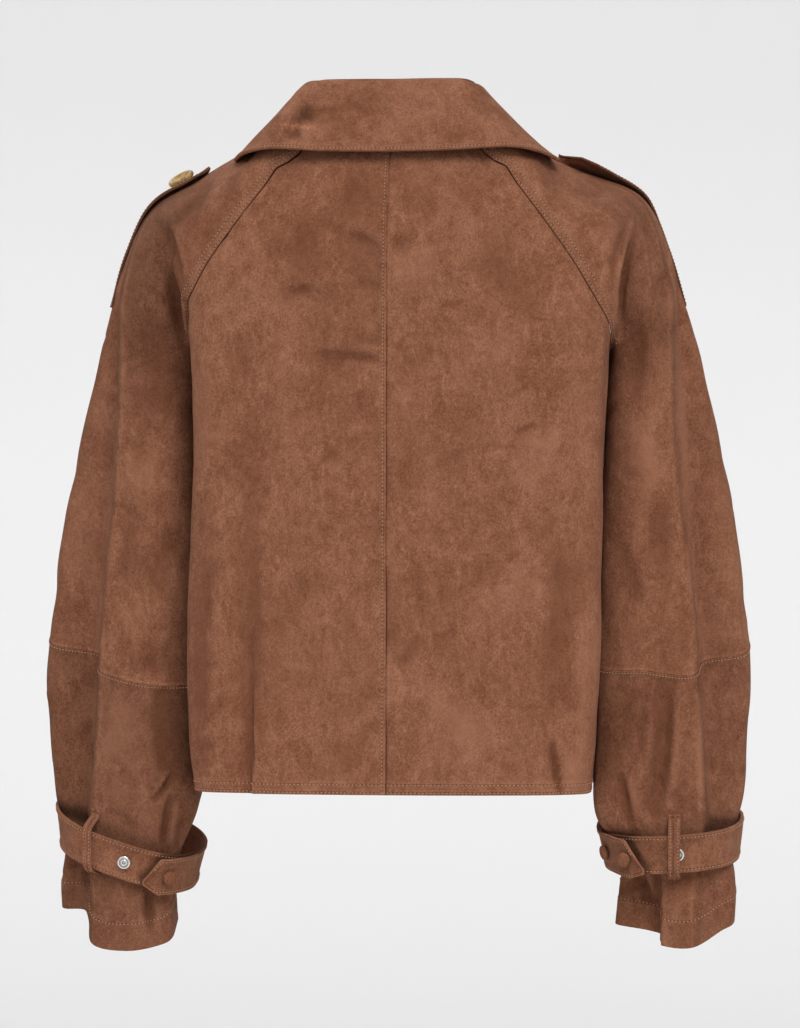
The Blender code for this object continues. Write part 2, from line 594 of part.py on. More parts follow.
def epaulette(side, material):
    share = np.array([0, .035, .09, .18, .28, .38, .48, .58, .68, .78, .89, 1])
    line, normal = epaulette_line(side, share)
    length = EPAULETTE_LENGTH * share
    half = EPAULETTE_WIDTH / 2 * np.clip(.15 + length / EPAULETTE_POINT, 0, 1)
    tilt = EPAULETTE_TILT[side]
    across = np.array([0, math.cos(tilt), 0]) - normal * math.sin(tilt)
    grid = np.stack([line + across * half[:, None] * k for k in (-1, -.5, 0, .5, 1)], axis=1)
    centre = line.mean(axis=0) - [side * .1, 0, .2]
    return grid_object(f"epaulette_{label(side)}", grid, DOUBLE, material,
                       lambda points: np.broadcast_to(centre, points.shape))


# ---- buttons and studs --------------------------------------------------------------
def turned(name, profile, steps, middle, normal, material):
    """A profile of (radius, height) pairs, outer side downwards, turned round its axis and
    stood on middle along normal."""
    mesh = bpy.data.meshes.new(name)
    mesh.from_pydata([(r, 0, h) for r, h in profile], [(i, i + 1) for i in range(len(profile) - 1)], [])
    obj = bpy.data.objects.new(name, mesh)
    bpy.data.collections["suede_jacket"].objects.link(obj)
    screw = obj.modifiers.new("Turn", "SCREW")
    screw.steps = screw.render_steps = steps
    screw.use_merge_vertices = True
    screw.merge_threshold = 0.00005
    mesh.materials.append(material)
    turn = Vector(normal).to_track_quat("Z", "Y").to_matrix().to_4x4()
    obj.matrix_world = Matrix.Translation(Vector(middle)) @ turn
    return obj


def round_button(name, radius, thick, middle, normal, material, steps=14):
    profile = [(0, thick), (radius * .62, thick * .96), (radius * .93, thick * .80), (radius, thick * .45),
               (radius * .9, 0), (0, 0)]
    return turned(name, profile, steps, middle, normal, material)


def front_buttons(material):
    for number, z in enumerate(FRONT_BUTTON_Z, start=1):
        point, above, below = (body_points(-1, CENTRE_FRONT, z + dz) for dz in (0, BUTTON_R, -BUTTON_R))
        normal = np.cross([1, 0, 0], above - below)
        normal /= np.linalg.norm(normal)
        middle = point + normal * (CLEARANCE + .0003)
        round_button(f"front_button_{number}", BUTTON_R, BUTTON_THICK, middle, normal, material)


def epaulette_button(side, material):
    line, normal = epaulette_line(side, EPAULETTE_BUTTON_AT + np.array([-.025, 0, .025]))
    lean = normal[1] + np.array([0, EPAULETTE_BUTTON_LEAN * side, 0])
    lean /= np.linalg.norm(lean)
    middle = line[1] + normal[1] * (CLEARANCE + EPAULETTE_BUTTON_LIFT[side])
    round_button(f"epaulette_button_{label(side)}", BUTTON_R, BUTTON_THICK, middle, lean, material)


def strap_fixings(side, suede, steel):
    strap = STRAP[side]
    centre = np.array([side * strap.mid_x, strap.mid_y, 0])

    def stand(degrees, lift):
        round_about = degrees + np.array([-3, 0, 3])
        before, point, after = strap_point(strap, side, round_about, 0.0, lift)
        below, above = strap_point(strap, side, degrees, np.array([-.004, .004]), lift)
        normal = np.cross(after - before, above - below)
        normal *= np.sign(np.dot(normal[:2], (point - centre)[:2]))
        normal /= np.linalg.norm(normal)
        return point + normal * (CLEARANCE + .0003), normal

    for number, degrees in enumerate(strap.buttons, start=1):
        middle, normal = stand(degrees, TAB_LIFT)
        name = f"covered_button_{label(side)}_{number}"
        round_button(name, COVERED_R, COVERED_THICK, middle, normal, suede, 12)
    middle, normal = stand(strap.stud, 0.0)
    round_button(f"press_stud_{label(side)}", STUD_R, STUD_THICK, middle, normal, steel, 12)


def main():
    for obj in list(bpy.data.objects):
        bpy.data.objects.remove(obj)
    parts = bpy.data.collections.new("suede_jacket")
    bpy.context.scene.collection.children.link(parts)
    suede = finish("suede", SUEDE, 0.92)
    horn = finish("horn", HORN, 0.35)
    steel = finish("steel", STEEL, 0.30, 1.0)
    for side in (1, -1):
        back_panel(side, suede)
        front_panel(side, suede)
        sleeve_upper(side, suede)
        sleeve_lower(side, suede)
        epaulette(side, suede)
        epaulette_button(side, horn)
        cuff_strap(side, suede)
        strap_loop(side, suede)
        strap_fixings(side, suede, steel)
    collar_stand(suede)
    collar_fall(suede)
    front_buttons(horn)


main()
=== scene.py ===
"""A cropped suede jacket: the finished cloth, stitching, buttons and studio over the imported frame.

Metres, +Z up, the front faces -Y and the wearer's left arm is at +X. The origin is at the
nape. Each cloth piece is a fine sheet on the form of its solid: a net of smooth cubics,
with creases, seam dips and hem ridges moved along its normals, and a wall behind it.
"""

import math
from collections import namedtuple

import bpy
import numpy as np
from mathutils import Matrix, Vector


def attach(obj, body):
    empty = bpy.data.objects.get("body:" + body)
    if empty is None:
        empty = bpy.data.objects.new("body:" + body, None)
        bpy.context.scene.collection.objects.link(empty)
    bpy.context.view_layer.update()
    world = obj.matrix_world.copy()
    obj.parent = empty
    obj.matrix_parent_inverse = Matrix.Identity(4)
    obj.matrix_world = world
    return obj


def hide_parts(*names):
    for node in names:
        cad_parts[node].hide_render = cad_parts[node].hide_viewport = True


bl_info = {
    "name": "Suede Jacket",
    "version": (1, 0, 0),
    "blender": (4, 5, 0),
    "location": "3D View > Sidebar > Jacket",
    "description": "Builds a cropped suede jacket with its stitching, buttons and studio",
    "category": "Add Mesh",
}

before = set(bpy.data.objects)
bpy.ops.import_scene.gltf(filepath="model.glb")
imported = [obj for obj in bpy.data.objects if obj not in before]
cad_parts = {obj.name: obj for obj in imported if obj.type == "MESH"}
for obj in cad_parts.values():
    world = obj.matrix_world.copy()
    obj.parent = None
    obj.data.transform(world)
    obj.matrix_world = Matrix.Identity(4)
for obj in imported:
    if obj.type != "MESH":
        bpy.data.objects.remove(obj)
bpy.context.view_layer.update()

# ---- the jacket's dimensions --------------------------------------------------------
WALL = .0013  # one layer of suede
DOUBLE = .0024  # two layers sewn together
CLEARANCE = .0004

HEM_Z = -.5408
UNDERARM_Z = -.190
NAPE_Z = 0.0
NECK_SEAM_Z = .002
YOKE_HEIGHT = NECK_SEAM_Z - UNDERARM_Z
FRONT_NECK_SEAM_Z = -.014
CENTRE_FRONT_Z = -.075
LAP = .024

HEM_FOLD_X = .107
HEM_FOLD_STEP = .006
HEM_FOLD_HEIGHT = .20

BUTTON_R = .0115
BUTTON_THICK = .0045
FRONT_BUTTON_Z = (-.115, -.225, -.335, -.445)
COVERED_R = .0062
COVERED_THICK = .0046
STUD_R = .0055
STUD_THICK = .0019

STRAP_WIDTH = .031
STRAP_TAB = .062
TAB_LIFT = DOUBLE + .0012
TAB_POINT = .016
TAB_CURL = {1: .0024, -1: .0062}  # the tab's point stands off this much more
TAB_POINT_LOWER = {1: .0072, -1: .0100}  # the tab's point lies this much below its middle
TAB_DROP = {1: .0042, -1: .0018}  # and the whole tab comes down this much towards it
LOOP_WIDTH = {1: .0074, -1: .0095}
LOOP_LENGTH = .052
LOOP_THICK = .0016
LOOP_RISE = .0055
EPAULETTE_WIDTH = .038
EPAULETTE_POINT = {1: .014, -1: .021}

HEM_ROWS = (.0017, .0080)  # two rows of stitches along the hem and the raglan seams
RAGLAN_ROWS = (.0017, .0070)
CENTRE_ROW = .0029  # one row beside the centre back seam
ELBOW_ROW_IN = .0019  # one row below the elbow seam
CUFF_ROW_Z = .0215  # one row above the cuff's end
EDGE_ROW = .0022  # one row inside the edges of collar, straps and epaulettes
FAR = 1.0  # stands for no row of stitches

# Half rings of the body: the fold edge's distance from the middle on each side, the
# side's own distance, and how far back and front reach.
Ring = namedtuple("Ring", "z edge_left edge_right side back front round")
BODY = (
    Ring(HEM_Z, .1580, .1587, .1545, .1240, .1200, .000),
    Ring(-.500, .1635, .1635, .1555, .1225, .1205, .000),
    Ring(-.430, .1655, .1663, .1560, .1205, .1215, .000),
    Ring(-.345, .1634, .1680, .1560, .1190, .1230, .000),
    Ring(-.270, .1605, .1696, .1560, .1180, .1250, .000),
    Ring(UNDERARM_Z, .1625, .1740, .1590, .1170, .1200, .000),
    Ring(-.150, .1660, .1760, .1630, .1160, .1145, .001),
    Ring(-.115, .1690, .1770, .1660, .1140, .1050, .003),
    Ring(-.080, .1710, .1780, .1680, .1085, .0900, .008),
    Ring(-.030, .1720, .1780, .1690, .0870, .0570, .014),
    Ring(.010, .1720, .1780, .1690, .0560, .0200, .018),
)
RAGLAN = ((.003, .055), (-.030, .0740), (-.0372, .0830), (-.0415, .0925), (-.055, .1010),
          (-.078, .1185), (-.103, .1366), (-.118, .1470), (-.141, .1605), (-.155, .1690))  # z, x
RAGLAN_WRAP_Z = -.148

Yoke = namedtuple("Yoke", "seam_z edge_x edge_y valley_x valley_y lobe_x lobe_y fold_x fold_y"
                          " recess_x recess_y top_x top_y top_z")
YOKE = (
    Yoke(NECK_SEAM_Z, .063, .0485, .068, .0395, .072, .023, .0738, .011, .0742, .005, .0745, -.002, .005),
    Yoke(-.030, .0868, .0705, .0940, .0590, .100, .037, .1020, .017, .1030, .007, .1035, .000, -.0135),
    Yoke(-.055, .1130, .0780, .1205, .0670, .129, .042, .1335, .019, .1350, .010, .1355, .002, -.0272),
    Yoke(-.078, .1352, .0840, .1445, .0725, .1565, .047, .164, .022, .1665, .013, .1680, .005, -.0440),
    Yoke(-.103, .1640, .0835, .1755, .0710, .190, .048, .1985, .026, .2015, .018, .2025, .010, -.0650),
    Yoke(-.126, .1745, .0830, .1790, .0650, .197, .055, .2140, .040, .2175, .029, .2215, .014, -.1050),
    Yoke(-.148, .1700, .0770, .1725, .0540, .197, .058, .2215, .044, .2260, .029, .2340, .016, -.1450),
    Yoke(-.170, .1685, .0560, .1725, .0460, .197, .058, .2220, .045, .2280, .028, .2422, .016, -.1730),
    Yoke(UNDERARM_Z, .1625, .030, .1725, .046, .197, .057, .2222, .046, .229, .026, .248, .016, -.195),
)
YOKE_SHARE = (0.0, .36, .50, .76, .95, .98, 1.0)
RIGHT_TOP_IN = .0018

Arm = namedtuple("Arm", "z lean_y lean_x inner_left inner_right outer_left outer_right"
                        " back front fold recess")
ARM = (
    Arm(-.225, .05, 0.00, .1625, .1703, .2547, .2525, .0560, -.0740, .2245, .025),
    Arm(-.265, .12, .02, .1630, .1697, .2638, .2608, .0540, -.0770, .2270, .027),
    Arm(-.305, .20, .05, .1630, .1675, .2720, .2677, .0520, -.0790, .2305, .029),
    Arm(-.350, .30, .10, .1630, .1653, .2797, .2741, .0510, -.0800, .2362, .030),
    Arm(-.395, .38, .13, .1635, .1641, .2860, .2794, .0500, -.0810, .2412, .031),
    Arm(-.434, .43, .15, .1635, .1632, .2906, .2834, .0490, -.0810, .2438, .030),
    Arm(-.475, .44, .13, .1632, .1622, .2906, .2840, .0480, -.0790, .2452, .029),
    Arm(-.512, .44, .11, .1620, .1600, .2876, .2820, .0470, -.0760, .2475, .027),
    Arm(-.550, .44, .08, .1645, .1618, .2835, .2792, .0465, -.0720, .2498, .025),
    Arm(-.587, .44, .05, .1788, .1819, .2760, .2695, .0435, -.0690, .2505, .025),
    Arm(-.622, .44, .02, .1850, .1795, .2785, .2735, .0440, -.0650, .2508, .027),
    Arm(-.656, .44, 0.00, .1832, .1770, .2780, .2725, .0455, -.0620, .2515, .028),
)
RIGHT_CUFF_Z = (-.568, -.600)
RIGHT_CUFF_FOLD, RIGHT_CUFF_RECESS = .2145, .025
CUFF_RISE_Z = (-.600, -.656)
CUFF_RISE = {1: (.001, .000, -.0025, -.003, -.001, .0135, .0155, .008, .000, .000, .001),
             -1: (.003, .003, .003, .004, .0045, .010, .010, .005, .000, .000, .003)}
LEAN_X0, LEAN_Y0 = .243, .010
ELBOW_ROW = len(YOKE) + 5

Collar = namedtuple("Collar", "roll_x roll_y roll_z edge_x edge_y edge_z")
COLLAR = (
    Collar(.0000, .0600, .0328, .0000, .0990, -.0303),
    Collar(.0300, .0600, .0330, .0500, .0965, -.0292),
    Collar(.0600, .0545, .0328, .0960, .0880, -.0262),
    Collar(.0700, .0400, .0290, .1205, .0720, -.0290),
    Collar(.0655, .0130, .0235, .1295, .0450, -.0320),
    Collar(.0605, -.0190, .0160, .1160, -.0050, -.0115),
    Collar(.0520, -.0530, -.0010, .1120, -.0600, -.0320),
    Collar(.0345, -.0830, -.0280, .1020, -.1040, -.0850),
    Collar(.0120, -.0985, -.0460, .0800, -.1235, -.1280),
)
COLLAR_RIGHT = ((.1350, .0470, -.0345), (.1120, -.0050, -.0210))
COLLAR_SHIFT = .0012
STAND_CENTRE_GAP = .004

Strap = namedtuple("Strap", "half_x half_y mid_x mid_y z lean_x lean_y tab loop stud buttons")
STRAP = {1: Strap(.0592, .0678, .2262, -.0105, -.5898, .330, .147, 106.0, 72.0, 93.5, (128.0,)),
         -1: Strap(.0578, .0665, .2221, -.0105, -.5846, .062, .115, 104.5, 88.4, 86.6, (120.0, 150.0))}
STRAP_CONE = (.0050, .0018)
STRAP_SQUARE = .79

EPAULETTE_START = {1: 2.62, -1: 1.87}
EPAULETTE_END = 6.15
EPAULETTE_LENGTH = .143
EPAULETTE_Y = .006
EPAULETTE_AHEAD = {1: 0.0, -1: .018}  # how far the strap runs forward of the shoulder's ridge
EPAULETTE_THICK = .0017
EPAULETTE_GAP = .0004
EPAULETTE_CURL = {1: .20, -1: .60}  # the share of the strap whose end lifts off
EPAULETTE_BUTTON_AT = .185
EPAULETTE_BUTTON_ACROSS = {1: 0.0, -1: -.42}
EPAULETTE_BUTTON_LEAN = {1: .42, -1: -.20}
EPAULETTE_BUTTON_LIFT = {1: .0020, -1: .0000}

NECK_FILL = {1: .0048, -1: .0030}
# How far the elbow seam runs above its row on the sleeve's inner and outer part, and how
# much slimmer the sleeve's outer side is above the strap.
ELBOW_MOVED = {1: (-.0010, .0036), -1: (.0125, -.0010)}
SLIMMER = {1: .0030, -1: .0008}
CREASE_DEPTH = 2.0  # all creases' heights are this many times the table's

# How much darker the sleeves are than the back, partly their own darker hide and partly painted shade:
# upper and lower part of each sleeve; how dark and how wide the painted shadow strip is where a
# sleeve comes out behind the body; and the painted shade over the lobe and beyond the fold.
SLEEVE_SHADE = {1: (.05, .21), -1: (.02, .10)}
STRIP_SHADE = {1: (.49, .027), -1: (.30, .017)}
LOBE_SHADE = {1: .28, -1: .20}
BEYOND_FOLD_SHADE = .07

# Creases, each an arc across one side of the jacket: its two ends in that side's own
# plane, how far its middle bends aside, its half width, its height (a trough is
# negative), and how much wider its flank is on the left of its way than on the right.
Crease = namedtuple("Crease", "face start_a start_z end_a end_z bend width height lean")
CREASE_UNITS = [1e4] * 7 + [100]  # the tables are in tenths of a millimetre, the lean in hundredths


def creases(table):
    """The creases of a table: each side's name and a colon, then its creases' numbers, set
    apart by bars."""
    made, face = [], None
    for row in table.replace(":", "|").replace("\n", "|").split("|"):
        words = row.split()
        if len(words) == 1:
            face = words[0]
        elif words:
            made.append(Crease(face, *(float(word) / scale for word, scale in zip(words, CREASE_UNITS))))
    return made


BACK_CREASES = {
    1: creases("""
        back: 1079 -2280 1072 -5400 0 100 -12 60 | 1092 -4000 1086 -6200 0 30 -13 30
        1058 -4000 1056 -6200 0 26 9 0 | 328 -980 20 -1078 10 52 -11 20 | 220 -1360 20 -1388 10 36 -9 0
        877 -1400 607 -1410 20 32 -6 0 | 640 -900 520 -1230 10 26 -5 0 | 460 -1100 330 -1500 -10 24 5 0
        600 -1900 30 -1960 10 22 -8 0 | 803 -1945 3 -1949 -20 42 -7 30 | 757 -1429 587 -1375 10 40 -9 0
        511 -2778 384 -2684 0 34 -8 0 | 315 -4935 70 -4650 10 50 9 20 | 1440 -3300 1500 -5300 40 90 -14 20
        1330 -4600 1480 -4850 -40 30 -10 0 | 1400 -4820 1560 -4980 -30 26 9 0
        1380 -5040 1540 -5100 20 30 -9 0 | 120 -5080 480 -4820 -30 22 7 20 | 620 -750 700 -1350 30 120 -10 0
        330 -3400 900 -3850 40 100 7 0 | 250 -300 300 -900 20 100 -7 0"""),
    -1: creases("""
        back: -299 -1864 -425 -1919 20 34 -7 0 | 10 -1011 -212 -1076 -10 46 -10 20
        -60 -1850 -180 -1900 10 40 -8 0 | -550 -620 -900 -900 30 40 -6 0 | -188 -1990 -299 -2219 20 36 -6 0
        -1000 -2559 -1227 -2488 -10 28 -13 20 | -1310 -4960 -1395 -5460 10 22 -30 45
        -1420 -5080 -1470 -5390 -10 50 14 0 | -1400 -3400 -1350 -4800 40 110 -11 0
        -1560 -4000 -1535 -5250 10 50 9 0 | -750 -850 -1150 -1700 60 130 -10 0
        -450 -3900 -1000 -3600 -50 110 -8 0 | -200 -4300 -800 -5050 60 120 7 0"""),
}
FRONT_CREASES = {
    1: creases("""
        front: 1050 -2600 1120 -5380 30 120 -17 30 | 500 -1500 1000 -1850 40 80 -10 0
        350 -2850 700 -2700 -20 60 -8 0 | 1350 -1750 1200 -2300 30 70 10 0"""),
    -1: creases("""
        front: -1120 -2400 -1080 -5380 -30 120 -16 -30 | -600 -1600 -1100 -1800 30 80 -10 0
        -450 -3800 -800 -3650 20 60 -8 0 | -1350 -1800 -1180 -2350 -30 70 10 0"""),
}
SLEEVE_CREASES = {
    1: creases("""
        back:
        1480 -480 1610 -900 20 50 -16 10 | 1591 -637 1760 -870 20 45 -11 0 | 1224 -435 1345 -670 10 50 -10 0
        1090 -250 1195 -370 10 30 -14 10 | 1962 -771 1672 -1500 -60 48 -17 -40
        1868 -820 1690 -1350 -40 22 -11 0 | 1838 -840 1655 -1380 -40 24 10 0
        1560 -520 1740 -900 10 26 -10 0 | 1300 -620 1440 -950 10 30 -9 0
        1843 -1200 1738 -1750 -20 50 -16 0 | 2050 -1500 1950 -2400 -60 90 -14 0
        1900 -2600 2080 -3300 50 100 11 0 | 2120 -3000 2200 -4000 40 80 -10 0
        1780 -3300 1940 -3900 30 70 -11 0 | 2050 -4350 1900 -4500 10 60 -9 0
        2221 -1193 2240 -2189 10 36 14 30 | 2240 -2189 2389 -3575 10 36 12 30
        2389 -3575 2473 -4400 10 36 12 30
        outer: 300 -2500 -300 -3300 60 110 -16 20 | -100 -1700 -350 -2400 40 90 12 0
        150 -3700 -450 -4200 50 90 -14 0 | -500 -3200 -300 -4100 40 80 10 0
        front: 1700 -1500 1950 -2300 60 80 -18 20 | 2200 -2600 1950 -3600 50 100 -16 0
        2400 -3300 2150 -4300 40 90 13 0 | 1300 -600 1600 -1150 50 80 -13 0"""),
    -1: creases("""
        back: -1931 -780 -1769 -1700 30 19 21 -20 | -1968 -900 -1815 -1650 30 34 -20 30
        -1890 -850 -1765 -1500 30 40 -14 0 | -2189 -1107 -2241 -1700 -10 28 12 0
        -2150 -900 -2210 -1500 -10 34 -10 0 | -1450 -480 -1700 -640 20 60 -8 0
        -1250 -380 -1500 -820 40 100 -9 0 | -2030 -1500 -1960 -2400 40 90 -13 0
        -1900 -2400 -2080 -3300 -60 100 12 0 | -2150 -2900 -2180 -3900 30 80 -11 0
        -1820 -3300 -2000 -4000 40 80 -11 0 | -2263 -1860 -2366 -3303 10 34 12 -30
        -2366 -3303 -2445 -4400 10 34 12 -30
        outer: 250 -2300 -350 -3200 60 110 -15 20 | -150 -1600 -400 -2300 40 90 12 0
        100 -3800 -450 -4150 50 90 -14 0
        front: -1750 -1500 -2000 -2300 -60 80 -18 20 | -2200 -2700 -1950 -3600 -50 100 -16 0
        -2350 -3300 -2150 -4200 -40 90 13 0 | -1300 -600 -1600 -1100 -50 80 -13 0"""),
}
CUFF_CREASES = {
    1: creases("""
        back: 1840 -5250 1985 -5500 -10 20 20 30 | 1830 -5300 1990 -5540 -10 26 -24 0
        1828 -5450 1915 -5980 10 28 -28 0 | 1775 -5500 1850 -5900 10 20 12 0
        1740 -5640 1800 -5950 10 26 -14 0 | 2022 -6130 2000 -6620 10 26 -24 0
        1960 -6200 1945 -6560 0 22 9 0 | 1885 -6000 1900 -6350 0 24 -10 0
        1862 -4600 1835 -5400 20 90 -24 0 | 2080 -4900 1960 -5040 10 40 7 0
        2160 -4700 2300 -5200 30 90 9 0 | 2473 -4440 2510 -5191 0 34 12 30
        2510 -5191 2548 -5900 0 34 12 30
        outer: 150 -4700 -400 -5300 50 90 -5 0 | -150 -5000 -350 -5600 30 60 12 0
        front: 2450 -4200 2200 -5000 40 90 -16 0 | 2000 -4400 2150 -5200 40 80 12 0"""),
    -1: creases("""
        back: -2180 -4500 -2080 -5660 -30 68 -40 0 | -2262 -4600 -2190 -5600 -20 40 16 0
        -1960 -4780 -2010 -5300 10 30 -10 0 | -1807 -5260 -1885 -5700 -10 36 -22 0
        -1870 -5280 -1950 -5650 -10 40 12 0 | -2098 -5278 -2170 -5380 0 26 -12 0
        -1900 -6040 -2030 -6360 -30 34 -30 0 | -1980 -6050 -2080 -6280 -20 26 12 0
        -2112 -5950 -2112 -6900 0 30 -18 0 | -2160 -5950 -2160 -6900 0 22 10 0
        -2230 -5900 -2400 -6250 10 80 -12 0 | -2439 -4440 -2460 -5600 0 34 12 -30
        outer: 150 -4700 -400 -5250 50 90 -5 0 | -150 -5000 -350 -5500 30 60 12 0
        front: -2400 -4200 -2150 -5000 -40 90 -16 0 | -2000 -4400 -2150 -5200 -40 80 12 0"""),
}
COLLAR_CREASES = creases("""
    back: 830 -30 560 70 10 52 -22 20 | 900 20 640 -90 -40 26 15 30 | 690 -80 640 -290 30 34 12 0
    860 -110 700 -150 10 36 -12 0 | 760 190 640 60 10 50 -8 0 | 200 200 -250 120 30 90 -7 0
    -600 100 -950 -200 30 80 9 0 | -350 -50 -600 -220 20 70 -8 0
    front: 650 -500 900 -700 30 70 -10 0 | -650 -450 -900 -650 -30 70 -10 0""")

# Strokes of painted shade along creases, and of painted highlight where the height is negative, laid out
# like creases; the height is the share of the colour that is taken away.
COLLAR_PAINTED_SHADE = creases("""
    back: 825 -26 610 4 0 66 4200 0 | 785 56 600 78 0 42 2200 0 | 910 -52 580 -102 10 19 -4600 0
    957 -150 718 -190 0 48 2100 0 | 735 -80 680 -235 10 17 2500 0 | 700 200 560 140 0 70 1400 0
    250 180 0 100 0 90 1100 0 | -640 160 -760 0 0 60 1100 0""")
BACK_PAINTED_SHADE = {
    1: creases("""
        back: 340 -950 30 -1015 -10 42 2000 30 | 957 -1457 60 -1361 -30 40 1000 30
        540 -1940 30 -1978 -10 32 2200 30 | 720 -1150 170 -1860 30 14 1200 0
        560 -1250 400 -1200 10 12 1200 0 | 430 -3130 300 -3260 20 26 1200 0
        300 -3480 50 -3420 20 18 1000 0 | 900 -2300 700 -3000 60 70 800 0"""),
    -1: creases("""
        back: 10 -1040 -170 -1090 10 42 1600 30 | -110 -1935 -230 -1980 10 44 1800 0
        -60 -1660 -370 -1915 10 13 1200 0 | 10 -1370 -650 -1400 -20 50 800 30
        -350 -2500 -560 -2700 20 50 800 0 | -180 -3050 -400 -3150 20 26 1000 0"""),
}

# Small wrinkles strewn over a panel: the side they are seen from, the box they lie in,
# how many, their usual direction from level, the longest, and a seed.
Strewn = namedtuple("Strewn", "face a_low a_high z_low z_high count turn longest seed")
BACK_WRINKLES = {
    1: (Strewn("back", .004, .060, -.500, -.070, 16, .05, .034, 3),
        Strewn("back", .010, .150, -.520, -.060, 34, .50, .045, 4)),
    -1: (Strewn("back", -.060, -.006, -.500, -.070, 13, -.05, .034, 5),
         Strewn("back", -.150, -.010, -.520, -.060, 34, -.50, .045, 6)),
}
FRONT_WRINKLES = {
    1: (Strewn("front", .020, .150, -.520, -.100, 30, -.40, .045, 7),),
    -1: (Strewn("front", -.150, -.020, -.520, -.100, 30, .40, .045, 8),),
}
SLEEVE_WRINKLES = {
    1: (Strewn("back", .100, .235, -.430, -.040, 46, 1.10, .040, 9),
        Strewn("outer", -.050, .040, -.430, -.080, 26, .90, .040, 10),
        Strewn("front", .120, .250, -.430, -.060, 34, -1.0, .040, 11)),
    -1: (Strewn("back", -.235, -.100, -.430, -.040, 46, -1.10, .040, 12),
         Strewn("outer", -.050, .040, -.430, -.080, 26, .90, .040, 13),
         Strewn("front", -.250, -.120, -.430, -.060, 34, 1.0, .040, 14)),
}
CUFF_WRINKLES = {
    1: (Strewn("back", .175, .260, -.650, -.455, 34, 1.20, .034, 15),
        Strewn("outer", -.060, .040, -.650, -.455, 22, 1.0, .034, 16),
        Strewn("front", .175, .260, -.620, -.430, 24, -1.0, .034, 17)),
    -1: (Strewn("back", -.260, -.170, -.650, -.455, 34, -1.20, .034, 18),
         Strewn("outer", -.060, .040, -.650, -.455, 22, 1.0, .034, 19),
         Strewn("front", -.260, -.175, -.620, -.430, 24, 1.0, .034, 20)),
}
COLLAR_WRINKLES = (Strewn("back", -.100, .100, -.030, .030, 22, .20, .030, 21),)

# How each side of the jacket is looked at: across, and the way out of it.
FACES = {"back": ((1, 0), (0, 1)), "front": ((1, 0), (0, -1)), "outer": ((0, 1), (1, 0))}


# ---- smooth curves and nets ---------------------------------------------------------
def factors(knots, at):
    """One row per value in at: its factors for the knots' values, on a curve of one cubic
    per stretch whose slope at a knot is the mean of its two stretches' slopes, the
    shorter stretch counting more."""
    knots = np.asarray(knots, float)
    at = np.asarray(at, float)
    step = np.diff(knots)
    slope = np.zeros((len(knots), len(knots)))
    for i in range(1, len(knots) - 1):
        a, b = step[i - 1], step[i]
        slope[i, i - 1], slope[i, i + 1] = -b / (a * (a + b)), a / (b * (a + b))
        slope[i, i] = (b - a) / (a * b)
    slope[0, :2] = -1 / step[0], 1 / step[0]
    slope[-1, -2:] = -1 / step[-1], 1 / step[-1]
    k = np.clip(np.searchsorted(knots, at, side="right") - 1, 0, len(knots) - 2)
    t = ((at - knots[k]) / step[k])[..., None]
    h = step[k][..., None]
    one = np.eye(len(knots))
    return ((2 * t**3 - 3 * t**2 + 1) * one[k] + (t**3 - 2 * t**2 + t) * h * slope[k]
            + (3 * t**2 - 2 * t**3) * one[k + 1] + (t**3 - t**2) * h * slope[k + 1])


def smooth(low, high, value):
    """0 on low's side, 1 past high, and an even ramp between."""
    t = np.clip((value - low) / (high - low), 0, 1)
    return t * t * (3 - 2 * t)


def mirrored(points, side):
    return points * np.array([side, 1.0, 1.0])


def label(side):
    return "left" if side > 0 else "right"


# ---- the body's form ----------------------------------------------------------------
RING_KNOTS = np.arange(-1, 12)  # 0 is the centre back, 4 the fold edge, 5 the side, 10 the centre front
CENTRE_BACK, FOLD_EDGE, SIDE, CENTRE_FRONT = 0, 4, 5, 10


# A half ring's points: their shares of its reach sideways, and how far in from its back
# or its front they lie.
RING_BACK = ((0, 0), (.38, .0015), (.72, .009), (.935, .024), (1, .050))
RING_FRONT = ((1, .048), (.92, .022), (.66, .007), (.33, .001), (0, 0))
SIDE_FOLLOWS = .8  # the side moves this much of what the fold edge moves


def ring_points(ring, side):
    """The half ring through its named reaches, with one point past each centre."""
    edge = ring.edge_left if side > 0 else ring.edge_right
    reach = ring.side + SIDE_FOLLOWS * (edge - ring.edge_left)
    half = [(share * edge, ring.back - inward) for share, inward in RING_BACK]
    half += [(reach, 0), *((share * reach, inward - ring.front) for share, inward in RING_FRONT)]
    half = [(x, y - math.copysign(ring.round * (x / .1) ** 2, y)) for x, y in half]
    before = (-half[1][0], half[1][1])
    after = (-half[-2][0], half[-2][1])
    return [before, *half, after]


def body_points(side, tau, z):
    """Points of one half of the body at places tau round it and heights z."""
    tau, z = np.broadcast_arrays(np.asarray(tau, float), np.asarray(z, float))
    heights = [ring.z for ring in BODY]
    net = np.array([ring_points(ring, side) for ring in BODY])
    xy = np.einsum("...h,...k,hkc->...c", factors(heights, z), factors(RING_KNOTS, tau), net)
    x, y = xy[..., 0], xy[..., 1]
    if side > 0:
        near_hem = 1 - smooth(HEM_Z, HEM_Z + HEM_FOLD_HEIGHT, z)
        past = smooth(HEM_FOLD_X - .0010, HEM_FOLD_X + .0030, x)
        fading = 1 - smooth(HEM_FOLD_X, HEM_FOLD_X + .050, x)
        y = y - HEM_FOLD_STEP * near_hem * past * fading * (tau < FOLD_EDGE)
    return np.stack([x * side, y, z], axis=-1)


